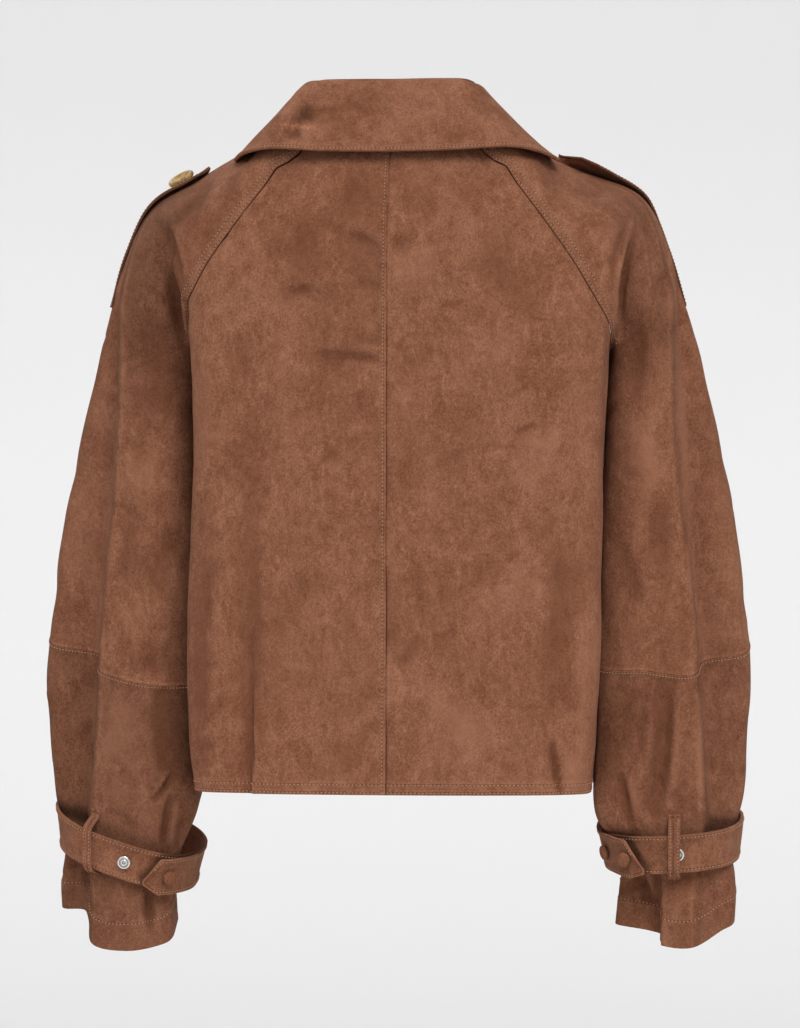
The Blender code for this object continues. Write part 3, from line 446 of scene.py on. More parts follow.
def raglan_tau(side, z, front=False):
    """Where the raglan seam crosses the half ring at height z: it follows the table's
    distance from the middle, and below the table it wraps round the edge to the side."""
    seam_z, seam_x = np.array(RAGLAN[::-1]).T
    ends = (CENTRE_FRONT, SIDE + 1) if front else (CENTRE_BACK, FOLD_EDGE)
    dense = np.linspace(*ends, 121)
    start_z = max(z, RAGLAN_WRAP_Z)
    reach = np.interp(start_z, seam_z, seam_x)
    ring_x = np.abs(body_points(side, dense, np.full_like(dense, start_z))[:, 0])
    start = float(np.interp(reach, ring_x, dense))
    share = (start_z - z) / (RAGLAN_WRAP_Z - UNDERARM_Z)
    return start + (SIDE - start) * share ** 1.3


def front_height(seam_z):
    """The front raglan seam's height where the back one is at seam_z."""
    return UNDERARM_Z + (seam_z - UNDERARM_Z) * (FRONT_NECK_SEAM_Z - UNDERARM_Z) / YOKE_HEIGHT


def seam_point(side, seam_z, front=False):
    """The body's point on a raglan seam."""
    z = front_height(seam_z) if front else seam_z
    return body_points(side, raglan_tau(side, z, front), z)


# ---- the sleeves' form --------------------------------------------------------------
SLEEVE_KNOTS = np.arange(11)  # 0 and 10 are the back and front seams, 6 the outer side
OUTER = 6
UNDERARM_ROW = len(YOKE) - 1
CUFF_ROW = len(YOKE) + len(ARM) - 1


def widening(side, z):
    """How much further out the body's fold edge is on this side than on the left."""
    if side > 0:
        return 0.0
    heights = [ring.z for ring in BODY]
    return float(factors(heights, np.array([z]))[0] @ [r.edge_right - r.edge_left for r in BODY])


def yoke_points(row, side):
    """Eleven points round the open sleeve on the shoulder: from the back seam over the valley,
    the lobe and the fold up to its top, and down in front to the front seam."""
    back = seam_point(side, row.seam_z) * [side, 1, 1]
    front = seam_point(side, row.seam_z, True) * [side, 1, 1]
    out = widening(side, row.seam_z) * smooth(-.09, -.15, row.seam_z)
    xy = [(row.edge_x + out, row.edge_y), (row.valley_x + .9 * out, row.valley_y),
          (row.lobe_x + .5 * out, row.lobe_y), (row.fold_x, row.fold_y), (row.recess_x, row.recess_y)]
    points = [back]
    for (x, y), share in zip(xy, YOKE_SHARE[1:]):
        points.append((x, y, row.seam_z + (row.top_z - row.seam_z) * share))
    top_x = row.top_x - (RIGHT_TOP_IN * smooth(-.05, -.09, row.seam_z) if side < 0 else 0)
    points.append((top_x, row.top_y, row.top_z))
    fronts = ((xy[3][0], -row.fold_y - .004, .93), (xy[2][0] - .003, -row.lobe_y - .006, .70),
              (xy[0][0] + .0010, -.9 * row.edge_y, .30))
    for x, y, share in fronts:
        points.append((x, y, front[2] + (row.top_z - front[2]) * share))
    points.append(front)
    return np.array(points, float)


def arm_points(row, side):
    """Eleven points round the closed sleeve, on a ring that leans with the arm. The right
    cuff changes to a ring of its own, and the cuff's end rises at the outer side."""
    inner, outer = (row.inner_left, row.outer_left) if side > 0 else (row.inner_right, row.outer_right)
    wide = outer - inner
    xy = np.array([(inner, .004), (inner + .0005, .028), (inner + .0095, row.back - .009),
                   ((inner + row.fold) / 2 + .002, row.back), (row.fold - .002, row.back - .007),
                   (row.fold + .005, row.back - row.recess), (outer, .014),
                   (outer - .009, -.038), (inner + .52 * wide, row.front),
                   (inner + .013, row.front + .019), (inner, .004)])
    if side < 0:
        turned_in = smooth(*RIGHT_CUFF_Z, row.z)
        other = xy.copy()
        other[1:6] = [(inner + .0015, .010), (RIGHT_CUFF_FOLD - .006, row.back - RIGHT_CUFF_RECESS),
                      (RIGHT_CUFF_FOLD + .001, row.back - .004), (.2400, row.back),
                      (.2610, row.back - .014)]
        xy = xy + turned_in * (other - xy)
    z = row.z - row.lean_y * (xy[:, 1] - LEAN_Y0) + row.lean_x * (xy[:, 0] - LEAN_X0)
    return np.column_stack([xy, z + smooth(*CUFF_RISE_Z, row.z) * np.array(CUFF_RISE[side])])


def sleeve_net(side):
    """All rings of one sleeve, from the neck to the cuff."""
    return np.array([yoke_points(row, side) for row in YOKE] + [arm_points(row, side) for row in ARM])


def yoke_seam_z(v):
    """The back raglan seam's height at places v down the sleeve."""
    return factors(np.arange(len(YOKE)), v) @ [row.seam_z for row in YOKE]


def sleeve_points(side, u, v):
    """A grid of the sleeve at places v down it and u round it. The open rows are drawn to
    the body's own seam, so that both panels share its points."""
    net = sleeve_net(side)
    grid = np.einsum("vi,uj,ijc->vuc", factors(np.arange(len(net)), v), factors(SLEEVE_KNOTS, u), net)
    for i, row in enumerate(v):
        closed = (grid[i, 0] + grid[i, -1]) / 2
        goals = closed, closed
        if row <= UNDERARM_ROW:
            seam_z = float(yoke_seam_z(np.array([row]))[0])
            goals = [seam_point(side, seam_z, front) * [side, 1, 1] for front in (False, True)]
        for goal, end, away in zip(goals, (0, -1), (u, 10 - u)):
            grid[i] += np.clip(1 - away / 1.5, 0, 1)[:, None] ** 2 * (goal - grid[i, end])
    return mirrored(grid, side)


# ---- fine sheets --------------------------------------------------------------------
EDGE_STEPS = np.array([0, .0005, .0011, .0019, .0031, .0048])  # distances of the rows by an edge
ALLOWANCE = ((.0006, .0008), (.0022, .0020), (.0050, .0020))  # how far on and how deep under a neighbour
ALLOWANCE_RELIEF = -.0012
ARC_PLACES = 24
OUTER_DEPTH = .45  # creases of the outer side are this much of the table's
WAVE_LENGTHS = (.11, .028)  # the longest and the shortest of the hide's soft waves
WAVE_COUNT = 16
WAVE_UPRIGHT = .55  # the waves' ways are this much less upright than level
WAVE_SUM = 2.2  # what the waves add up to
WRINKLE_TURN, WRINKLE_BEND, WRINKLE_LEAN = .45, .16, .25  # how much strewn wrinkles vary
WRINKLE_SHORTEST = .006
WRINKLE_HEIGHT, WRINKLE_WIDTH = (.00025, .0007), (.0016, .0042)
FACING_FADE = .25  # creases fade where the cloth turns away from their side
TURNED_END = (-.0006, .0014)  # a turned allowance thins out over this stretch
WELD = 2e-5  # points nearer than this are one
LEAST_WIDTH, LEAST_FILL = .0101, .301  # of a cut: its width, and its area's share of its box
FIELDS = ("first_row", "second_row", "relief", "shade")  # of a sheet's points, for its material


def edged(count, length, first=True, last=True):
    """Even shares of a length, with closer ones near those ends that are edges."""
    near = EDGE_STEPS / length
    low = near if first else near[:1]
    high = 1 - near[::-1] if last else np.array([1.0])
    return np.concatenate([low[:-1], np.linspace(low[-1], high[0], count), high[1:]])


def unit(vectors):
    return vectors / np.linalg.norm(vectors, axis=-1, keepdims=True)


def along(grid, axis):
    """Distances along each row (axis 1) or column (axis 0) from its first point."""
    steps = np.linalg.norm(np.diff(grid, axis=axis), axis=-1)
    return np.insert(np.cumsum(steps, axis=axis), 0, 0, axis=axis)


def both_ways(grid, axis):
    """Distances along each row or column from its first and from its last point."""
    reach = along(grid, axis)
    return reach, (reach[:, -1:] if axis else reach[-1:]) - reach


def picked(at, reach, line):
    """Points of a line, column by column, where its distances pass the values at."""
    return np.stack([np.interp(at, reach, column) for column in line.T], axis=-1)


def normals(grid, centre):
    """The way out of a grid: the cross product of its two slopes, turned away from a point,
    or from an upright line when the centre has only x and y."""
    normal = np.cross(np.gradient(grid, axis=0), np.gradient(grid, axis=1))
    normal /= np.maximum(np.linalg.norm(normal, axis=-1, keepdims=True), 1e-12)
    n = len(centre)
    return normal * np.sign(np.sum(normal[..., :n] * (grid[..., :n] - centre)))


def crease_relief(grid, normal, creases, side):
    """The height of all creases at each point. A crease is a bell across an arc: places along
    the arc are set against each point, the nearest gives the signed distance d and the place
    s along it, and the height is exp(-(d / width)^2) * sin(pi s)^0.7."""
    relief = np.zeros(grid.shape[:2])
    s = np.linspace(0, 1, ARC_PLACES)
    for crease in creases:
        across, out = FACES[crease.face]
        mirror = side if crease.face == "outer" else 1
        a = grid[..., 0] * across[0] + grid[..., 1] * across[1]
        z = grid[..., 2]
        facing = normal[..., 0] * out[0] * mirror + normal[..., 1] * out[1]
        start = np.array([crease.start_a, crease.start_z])
        way = np.array([crease.end_a, crease.end_z]) - start
        beside = unit(np.array([-way[1], way[0]]))
        arc = start + way * s[:, None] + beside * (crease.bend * 4 * s * (1 - s))[:, None]
        low, high = arc.min(axis=0) - 3 * crease.width, arc.max(axis=0) + 3 * crease.width
        near = (facing > 0) & (a > low[0]) & (a < high[0]) & (z > low[1]) & (z < high[1])
        points = np.stack([a[near], z[near]], axis=-1)
        nearest = np.argmin(np.sum((points[:, None] - arc) ** 2, axis=-1), axis=1)
        place = np.clip(nearest, 1, ARC_PLACES - 2)
        tangent = unit(arc[place + 1] - arc[place - 1])
        gap = points - arc[nearest]
        forward = np.sum(gap * tangent, axis=1)
        distance = gap[:, 1] * tangent[:, 0] - gap[:, 0] * tangent[:, 1]
        share = s[nearest] + forward / np.linalg.norm(way)
        taper = np.sin(np.pi * np.clip(share, 0, 1)) ** .7
        width = crease.width * (1 + crease.lean * np.tanh(distance / crease.width))
        depth = CREASE_DEPTH * crease.height * (OUTER_DEPTH if crease.face == "outer" else 1)
        relief[near] += (depth * np.exp(-(distance / width) ** 2) * taper
                         * smooth(0, FACING_FADE, facing[near]))
    return relief


def painted_crease_shading(grid, normal, strokes):
    """Painted shade along strokes, each laid out like a crease; negative strokes are painted highlight."""
    return crease_relief(grid, normal, strokes, 1) / CREASE_DEPTH


def strewn(groups):
    """The creases of some groups of small wrinkles, each with its own place, turn, length,
    bend, width and height."""
    creases = []
    for g in groups:
        rng = np.random.default_rng(g.seed)
        for _ in range(g.count):
            a, z = rng.uniform(g.a_low, g.a_high), rng.uniform(g.z_low, g.z_high)
            turn = rng.normal(g.turn, WRINKLE_TURN)
            half = rng.uniform(WRINKLE_SHORTEST, g.longest / 2)
            da, dz = half * math.cos(turn), half * math.sin(turn)
            height = rng.choice([-1, -1, 1]) * rng.uniform(*WRINKLE_HEIGHT)
            creases.append(Crease(g.face, a - da, z - dz, a + da, z + dz, rng.normal(0, WRINKLE_BEND) * half,
                                  rng.uniform(*WRINKLE_WIDTH), height, rng.normal(0, WRINKLE_LEAN)))
    return creases


def unevenness(grid, seed, height=None):
    """Soft waves of the hide: sines of many lengths in turned directions, added up."""
    height = bpy.context.scene.jacket_sizes.unevenness if height is None else height
    longest, shortest = WAVE_LENGTHS
    rng = np.random.default_rng(seed)
    total = np.zeros(grid.shape[:-1])
    for length in np.geomspace(longest, shortest, WAVE_COUNT):
        way = unit(rng.normal(size=3) * [1, 1, WAVE_UPRIGHT])
        total += np.sin(2 * np.pi * (grid @ way) / length + rng.uniform(0, 6.28)) * length / longest
    return total * height / WAVE_SUM


def seam_dip(distance, depth, reach=.0011):
    """A panel's edge rolls in where it is sewn: depth * exp(-(distance / reach)^2)."""
    return -depth * np.exp(-(distance / reach) ** 2)


def plateau(distance, width, height):
    """The extra thickness of a turned allowance, up to width from the edge."""
    start, end = TURNED_END
    return height * (1 - smooth(width + start, width + end, distance))


def piece(name, mesh, material):
    """A finished piece at the origin, with its material, riding on the jacket's one body."""
    mesh.shade_smooth()
    mesh.materials.append(bpy.data.materials[f"jacket_{material}"])
    obj = bpy.data.objects.new(name, mesh)
    bpy.context.scene.collection.objects.link(obj)
    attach(obj, "root")
    "suede" if material in ("suede", "thread") else material
    return obj


def set_field(mesh, name, values):
    """A number for each point of a mesh, which its material reads."""
    mesh.attributes.new(name, "FLOAT", "POINT").data.foreach_set("value", values.astype(np.float32))


class Cloth:
    """A sheet in the making: its cut, moved out by a height at each point, the fields that its
    material reads, and the lines that its stitches follow, by the thread's name."""

    def __init__(self, name, flat, shape, centre=(0, 0), relief=0.0, shade=0.0, closed=None):
        self.name, self.flat, self.closed = name, flat, closed
        self.grid = flat + cloth_normals(flat, centre, closed) * np.asarray(shape)[..., None]
        if closed is not None:
            ends = (self.grid[closed, 0] + self.grid[closed, -1]) / 2
            self.grid[closed, 0] = self.grid[closed, -1] = ends
        self.normal = cloth_normals(self.grid, centre, closed)
        count = flat.shape[:2]
        self.first_row, self.second_row = np.full(count, FAR), np.full(count, FAR)
        self.relief, self.shade = np.full(count, relief), np.full(count, shade)
        self.lines = {}

    def mark(self, distance, first, second=FAR):
        """Marks one or two rows of stitches at their distances from an edge."""
        self.first_row = np.minimum(self.first_row, distance - first)
        if second < FAR:
            self.second_row = np.minimum(self.second_row, distance - second)

    def line(self, distance, at, part=np.s_[:], down=False, thread="stitches"):
        """Lays a line of stitches: in each row (or column) of a part, the point and the normal
        where the distances from an edge pass a value."""
        both = np.concatenate([self.grid, self.normal], axis=-1)[part]
        reach = distance[part]
        if down:
            both, reach = np.swapaxes(both, 0, 1), reach.T
        line = [picked(at, *((r, p) if r[-1] > r[0] else (r[::-1], p[::-1]))) for p, r in zip(both, reach)]
        self.lines.setdefault(thread, []).append(np.array(line))

    def hem(self, from_hem):
        """Marks and lays the two rows of stitches along a panel's hem."""
        self.mark(from_hem, *HEM_ROWS)
        for at in HEM_ROWS:
            self.line(from_hem, at, down=True)

    def extend(self, last=True, axis=1):
        """Carries a panel on under its neighbour: some columns (or rows) past an edge, along
        the sheet and sunk. Rows of stitches don't reach them."""
        edge, inner = (-1, -2) if last else (0, 1)
        grid, out = np.take(self.grid, edge, axis), np.take(self.normal, edge, axis)
        way = unit(grid - np.take(self.grid, inner, axis))
        more = {"grid": [grid + way * on - out * deep for on, deep in ALLOWANCE], "normal": [out] * 3}
        more["shade"] = [np.take(self.shade, edge, axis)] * 3
        for name, value in (("relief", ALLOWANCE_RELIEF), ("first_row", FAR), ("second_row", FAR)):
            more[name] = [np.full(len(grid), value)] * 3
        for name, lines in more.items():
            added = np.stack(lines if last else lines[::-1], axis=axis)
            field = getattr(self, name)
            setattr(self, name, np.concatenate([field, added] if last else [added, field], axis=axis))

    def finish(self, wall=WALL, bevel=.0004, pitch=(None,)):
        count = self.grid.shape[:2]
        index = np.arange(count[0] * count[1]).reshape(count)
        faces = np.stack([index[:-1, :-1], index[:-1, 1:], index[1:, 1:], index[1:, :-1]], axis=-1)
        if np.sum(crossed(self.grid) * self.normal[:-1, :-1]) < 0:
            faces = faces[..., ::-1]
        faces = faces.reshape(-1, 4)
        points = self.grid.reshape(-1, 3)
        kept = np.arange(len(points))
        if self.closed is not None:
            cells = np.round(points / WELD).astype(np.int64)
            _, kept, renumbered = np.unique(cells, axis=0, return_index=True, return_inverse=True)
            faces = renumbered.reshape(-1)[faces]
        mesh = bpy.data.meshes.new(f"{self.name}_cloth")
        mesh.vertices.add(len(kept))
        mesh.vertices.foreach_set("co", points[kept].reshape(-1))
        mesh.loops.add(faces.size)
        mesh.loops.foreach_set("vertex_index", faces.reshape(-1))
        mesh.polygons.add(len(faces))
        mesh.polygons.foreach_set("loop_start", np.arange(0, faces.size, 4))
        mesh.update(calc_edges=True)
        for name in FIELDS:
            set_field(mesh, name, getattr(self, name).reshape(-1)[kept])
        obj = piece(f"{self.name}_cloth", mesh, "suede")
        solid = obj.modifiers.new("Wall", "SOLIDIFY")
        solid.thickness, solid.offset = wall, -1
        rounded = obj.modifiers.new("Edge", "BEVEL")
        rounded.width, rounded.segments = bevel, 2
        rounded.limit_method, rounded.angle_limit = "ANGLE", math.radians(60)
        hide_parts(self.name)
        stitches = [stitch_object(f"{self.name}_{thread}", lines, p)
                    for (thread, lines), p in zip(self.lines.items(), pitch)]
        width = max(float(along(self.flat, 1)[:, -1].max()), LEAST_WIDTH)
        length = float(along(self.flat, 0)[-1].max())
        area = float(np.linalg.norm(crossed(self.flat), axis=-1).sum() / 2)
        area = min(max(area, LEAST_FILL * width * length), width * length)


def cloth_normals(grid, centre, closed=None):
    """The way out; where both end columns are one seam, they share it."""
    normal = normals(grid, centre)
    if closed is not None:
        normal[closed, 0] = normal[closed, -1] = unit(normal[closed, 0] + normal[closed, -1])
    return normal


def crossed(grid):
    """The cross product of each quad's diagonals: its way out, as long as twice its area."""
    return np.cross(grid[1:, 1:] - grid[:-1, :-1], grid[1:, :-1] - grid[:-1, 1:])


# ---- stitches -----------------------------------------------------------------------
# A stitch's rings: their places along it, and how thick and how high they are.
STITCH_RINGS = np.array([(-1.0, .35, -.9), (-.55, 1.0, .15), (.55, 1.0, .15), (1.0, .35, -.9)])
STITCH_SIDES = 4


def circle(steps, first, second):
    """Evenly turned spokes between two directions."""
    angle = np.linspace(0, 2 * np.pi, steps, endpoint=False)
    return np.cos(angle)[:, None] * first[..., None, :] + np.sin(angle)[:, None] * second[..., None, :]


def tube_faces(rings, sides):
    """The quads between rings of points."""
    index = np.arange(rings * sides).reshape(rings, sides)
    after = np.roll(index, -1, axis=1)
    return np.stack([index[:-1], after[:-1], after[1:], index[1:]], axis=-1).reshape(-1, 4)


def stitch_row(line, pitch, length, radius):
    """Stitches along a line of points and normals. Each is a small tube of four rings whose
    ends dip into the cloth; all are worked out as one array."""
    reach = along(line[:, :3], 0)
    count = int(reach[-1] / pitch)
    middle = (np.arange(count) + .5) * reach[-1] / count
    at = picked(middle, reach, line)
    way = unit(picked(middle + .001, reach, line[:, :3]) - picked(middle - .001, reach, line[:, :3]))
    out = unit(at[:, 3:] - way * np.sum(at[:, 3:] * way, axis=1, keepdims=True))
    ahead, thick, high = STITCH_RINGS.T
    centre = (at[:, None, :3] + way[:, None] * (ahead * length / 2)[None, :, None]
              + out[:, None] * (high * radius)[None, :, None])
    spoke = circle(STITCH_SIDES, np.cross(way, out), out)
    points = centre[:, :, None] + spoke[:, None] * (radius * thick)[None, :, None, None]
    return points.reshape(-1, 3), count


def stitch_object(name, lines, pitch=None):
    """All rows of stitches of one piece as one mesh."""
    sizes = bpy.context.scene.jacket_sizes
    parts = [stitch_row(line, pitch or sizes.stitch_pitch, sizes.stitch_length, sizes.thread_radius)
             for line in lines]
    points = np.concatenate([p for p, _ in parts])
    size = len(STITCH_RINGS) * STITCH_SIDES
    first = np.arange(sum(n for _, n in parts))[:, None, None] * size
    quads = (tube_faces(len(STITCH_RINGS), STITCH_SIDES) + first).reshape(-1, 4)
    ends = np.arange(STITCH_SIDES)
    caps = (np.stack([ends[::-1], size - STITCH_SIDES + ends]) + first).reshape(-1, STITCH_SIDES)
    mesh = bpy.data.meshes.new(name)
    mesh.from_pydata(points, [], [*quads.tolist(), *caps.tolist()])
    return piece(name, mesh, "thread")


# ---- materials ----------------------------------------------------------------------
class Field:
    """A socket of a node tree that takes part in formulas: each sum, difference, product
    and absolute value is a Math node."""

    def __init__(self, tree, socket):
        self.tree, self.socket = tree, socket

    def math(self, operation, *values, clamp=False):
        return node(self.tree, "Math", dict(enumerate(values)), operation=operation, use_clamp=clamp)

    def __add__(self, other):
        return self.math("ADD", self, other)

    def __sub__(self, other):
        return self.math("SUBTRACT", self, other)

    def __rsub__(self, other):
        return self.math("SUBTRACT", other, self)

    def __mul__(self, other):
        return self.math("MULTIPLY", self, other)

    def __abs__(self):
        return self.math("ABSOLUTE", self)

    def greater(self, other):
        return self.math("MAXIMUM", self, other)

    def clamped(self, factor=1):
        return self.math("MULTIPLY", self, factor, clamp=True)

    def noise(self, scale, detail=3.0, roughness=.55, distortion=0.0, stretch=None, turn=(0, 0, 0)):
        """Noise at this place, which may be turned and stretched first."""
        place = self
        if stretch:
            place = node(self.tree, "Mapping", {"Vector": self, "Scale": stretch, "Rotation": turn})
        return node(self.tree, "TexNoise", {"Vector": place, "Scale": scale, "Detail": detail,
                                            "Roughness": roughness, "Distortion": distortion})

    def ramp(self, low, high, to_low=0.0, to_high=1.0, kind="SMOOTHSTEP"):
        return node(self.tree, "MapRange", {"Value": self, "From Min": low, "From Max": high,
                                            "To Min": to_low, "To Max": to_high}, interpolation_type=kind)


def node(tree, kind, inputs, output=0, **settings):
    """A shader node with its settings and inputs; its output as a field."""
    made = tree.nodes.new(f"ShaderNode{kind}")
    for name, value in settings.items():
        setattr(made, name, value)
    connect(tree, made.inputs, inputs)
    return Field(tree, made.outputs[output])


def connect(tree, sockets, values):
    """Links fields to sockets, and sets numbers and colours directly."""
    for name, value in values.items():
        if isinstance(value, Field):
            tree.links.new(value.socket, sockets[name])
        else:
            sockets[name].default_value = value


MIX_FACTOR, MIX_A, MIX_B, MIX_RESULT = 0, 6, 7, 2  # the Mix node's colour sockets


def mixed(share, a, b, blend="MIX"):
    """A Mix node on colours; share, a and b are fields, numbers or colours."""
    tree = next(value.tree for value in (share, a, b) if isinstance(value, Field))
    a, b = ((*value, 1) if isinstance(value, tuple) else value for value in (a, b))
    return node(tree, "Mix", {MIX_FACTOR: share, MIX_A: a, MIX_B: b}, MIX_RESULT,
                data_type="RGBA", blend_type=blend)


def new_group(name, inputs, outputs):
    """A node group with named float sockets and a vector; its inputs as fields, its results."""
    tree = bpy.data.node_groups.new(name, "ShaderNodeTree")
    for titles, way, kind in ((inputs, "INPUT", "Float"), (["Vector"], "INPUT", "Vector"),
                              (outputs, "OUTPUT", "Float")):
        for title in titles:
            tree.interface.new_socket(title, in_out=way, socket_type=f"NodeSocket{kind}")
    source, result = tree.nodes.new("NodeGroupInput"), tree.nodes.new("NodeGroupOutput")
    return tree, {socket.name: Field(tree, socket) for socket in source.outputs}, result.inputs


def use_group(tree, group, inputs):
    """A node group in use; its outputs as fields, by name."""
    made = tree.nodes.new("ShaderNodeGroup")
    made.node_tree = group
    connect(tree, made.inputs, inputs)
    return {socket.name: Field(tree, socket) for socket in made.outputs}


def nap_group():
    """Suede's nap: clouds where the hide took the dye unevenly, smears where the nap was
    brushed aside, and a fine grain. Gives a tone about 0.5 and a height in metres."""
    tree, source, result = new_group("Suede nap", (), ("Tone", "Height"))
    place = source["Vector"]
    clouds = place.noise(15, 5, .62, 1.1).ramp(.30, .70)
    blotches = place.noise(42, 6, .68, 1.6, (1, 1, .8), (.3, .2, .1)).ramp(.30, .70)
    smears = place.noise(110, 5, .70, .8, (1, 1, .45), (.2, .5, .4))
    wisps = abs(place.noise(28, 5, .60, 2.2, (1, 1, .6), (.5, .1, .7)) - .5)
    wisps = wisps.ramp(0, .030, 1, 0) * smears.ramp(.45, .65)
    grain = place.noise(560, 4, .75)
    fibre = place.noise(1300, 3, .8, 0.0, (1, 1, .5), (.1, .3, .8))
    patches = place.noise(33, 4, .55, 1.8).ramp(.485, .515)
    flakes = place.noise(74, 4, .6, 1.5, (1, 1, .7), (.4, .3, .2)).ramp(.49, .515)
    tone = (clouds - .5) * .20
    for layer, middle, share in ((blotches, .5, .20), (smears, .5, .85), (wisps, .1, .36),
                                 (patches, .5, .10), (flakes, .5, .10), (grain, .5, 1.90),
                                 (fibre, .5, 1.75)):
        tone = tone + (layer - middle) * share
    height = grain * .00016 + fibre * .00008 + smears * .00030 + blotches * .00045
    connect(tree, result, {"Tone": tone.math("ADD", tone, .5, clamp=True), "Height": height})
    return tree


def stitch_groove_group():
    """The groove that a row of stitches pulls into suede, and the puckers beside it, from
    the signed distances to two rows."""
    titles = "First row", "Second row"
    tree, source, result = new_group("Stitch groove", titles, ("Height", "Near", "Line"))
    rows = [abs(source[title]) for title in titles]
    groove, other_groove = (away.ramp(0, .0012, -1, 0) for away in rows)
    near, other_near = (away.ramp(.0004, .0046, 1, 0) for away in rows)
    line, other_line = (away.ramp(.0002, .0009, 1, 0) for away in rows)
    near = near.greater(other_near)
    pucker = source["Vector"].noise(260, 2, .5) * near * .0012
    connect(tree, result, {"Height": (groove + other_groove) * .0006 + pucker,
                           "Near": near, "Line": line.greater(other_line)})
    return tree


def new_material(name):
    """A material's tree, its shader's inputs and the place on the object."""
    material = bpy.data.materials.new(name)
    material.use_nodes = True
    tree = material.node_tree
    return tree, tree.nodes["Principled BSDF"].inputs, node(tree, "TexCoord", {}, "Object")


def attribute(tree, name):
    """A sheet's own field, as its material reads it."""
    return node(tree, "Attribute", {}, "Fac", attribute_name=name)


def bumped(height):
    """The normal that a height in metres gives."""
    return node(height.tree, "Bump", {"Strength": 1.0, "Distance": 1.0, "Height": height}, "Normal")


def tinted(colour, *factors):
    """A colour times three factors, or one for all, up to 1."""
    return tuple(min(1, c * k) for c, k in zip(colour, factors if len(factors) > 1 else factors * 3))


def suede_material(colour):
    """Suede: the base colour darkened and lightened by the nap; lighter on ridges, partly as rubbed nap and
    partly as painted highlight, with a painted highlight beside stitch rows; painted shade in troughs and on
    the stitch lines; and darker by the shade field."""
    tree, shader, place = new_material("jacket_suede")
    nap = use_group(tree, nap_group(), {"Vector": place})
    groove = use_group(tree, stitch_groove_group(), {
        "Vector": place, "First row": attribute(tree, "first_row"),
        "Second row": attribute(tree, "second_row")})
    base = mixed(nap["Tone"], tinted(colour, .62, .52, .46), tinted(colour, 1.38, 1.48, 1.56))
    # Ridges lighter (rubbed nap and painted highlight), troughs darker (painted shade).
    wear_and_painted_light = attribute(tree, "relief").ramp(-.0020, .0020, -.55, .55, "LINEAR")
    # A painted highlight on the band beside stitch rows and painted shade on the stitch lines.
    wear_and_painted_light = wear_and_painted_light + groove["Near"] * .24 - groove["Line"] * .60
    base = mixed(wear_and_painted_light.clamped(), base, tinted(colour, 1.34, 1.42, 1.50))
    base = mixed(wear_and_painted_light.clamped(-1), base, tinted(colour, .58, .50, .44))
    # The shade field: mostly painted shade, painted highlight where it is negative, and the sleeves' darker
    # hide.
    base = mixed(1.0, base, 1.0 - attribute(tree, "shade"), "MULTIPLY")
    connect(tree, shader, {
        "Base Color": base, "Roughness": .95, "Specular IOR Level": .12, "Sheen Weight": .05,
        "Sheen Roughness": .5, "Sheen Tint": (.95, .62, .45, 1),
        "Normal": bumped(nap["Height"] + groove["Height"])})


def thread_material(colour):
    """Thread: a plain twisted yarn with faint stripes across its run."""
    tree, shader, place = new_material("jacket_thread")
    twist = place.noise(2200, 2, .6)
    connect(tree, shader, {"Base Color": mixed(twist, tinted(colour, .72), tinted(colour, 1.2)),
                           "Roughness": .7, "Normal": bumped(twist * .0001)})


def horn_material(colour):
    """Horn: honey and brown streaks that swim through it, under a soft polish."""
    tree, shader, place = new_material("jacket_horn")
    streaks = place.noise(130, 4, .6, 1.4, (1, .35, 1), (.4, .2, .9))
    flecks = place.noise(420, 3, .6)
    base = mixed(streaks.ramp(.36, .62), tinted(colour, .42, .34, .28), colour)
    base = mixed(flecks.ramp(.52, .72), base, tinted(colour, 1.30, 1.35, 1.3))
    connect(tree, shader, {"Base Color": base, "Roughness": flecks.ramp(.3, .7, .34, .50),
                           "Coat Weight": .08, "Coat Roughness": .20, "Normal": bumped(flecks * .00006)})


def steel_material(colour):
    """Nickel-coloured metal with rings left by turning and faint scratches."""
    tree, shader, place = new_material("jacket_steel")
    scratches = place.noise(1800, 2, .6, 0.0, (1, 1, .08), (.3, .8, 0))
    dull = place.noise(300, 3, .6)
    base = mixed(dull, tinted(colour, .82), colour)
    # The shade field darkens the metal: painted shade in the stud's grooves.
    connect(tree, shader, {"Base Color": mixed(1.0, base, 1.0 - attribute(tree, "shade"), "MULTIPLY"),
                           "Roughness": dull.ramp(.3, .7, .16, .30), "Metallic": 1.0,
                           "Normal": bumped(scratches * .00003)})


def wall_material(colour):
    """Matt studio paint with the faintest unevenness."""
    tree, shader, place = new_material("studio_paint")
    connect(tree, shader, {"Base Color": mixed(place.noise(3, 2, .5), tinted(colour, .985), colour),
                           "Roughness": .95, "Specular IOR Level": .1})


# ---- settings -----------------------------------------------------------------------
def colour_property(name, description, default):
    return bpy.props.FloatVectorProperty(name=name, description=description, default=default,
                                         subtype="COLOR", size=3, min=0, max=1)


class JacketColours(bpy.types.PropertyGroup):
    suede: colour_property("Suede", "Middle tone of the suede", (.262, .108, .059))
    thread: colour_property("Thread", "Stitching thread", (.450, .245, .145))
    horn: colour_property("Horn", "Buttons of horn", (.430, .255, .060))
    steel: colour_property("Studs", "Press studs", (.960, .945, .920))
    paint: colour_property("Studio", "Floor and backdrop", (.775, .775, .775))


class JacketSizes(bpy.types.PropertyGroup):
    stitch_pitch: bpy.props.FloatProperty(
        name="Stitch pitch", description="From one stitch to the next", default=.0031, unit="LENGTH")
    stitch_length: bpy.props.FloatProperty(
        name="Stitch length", description="Visible length of a stitch", default=.0022, unit="LENGTH")
    thread_radius: bpy.props.FloatProperty(
        name="Thread radius", description="Half the thread's thickness", default=.00042, unit="LENGTH")
    unevenness: bpy.props.FloatProperty(
        name="Unevenness", description="Height of the hide's soft waves", default=.0007, unit="LENGTH")


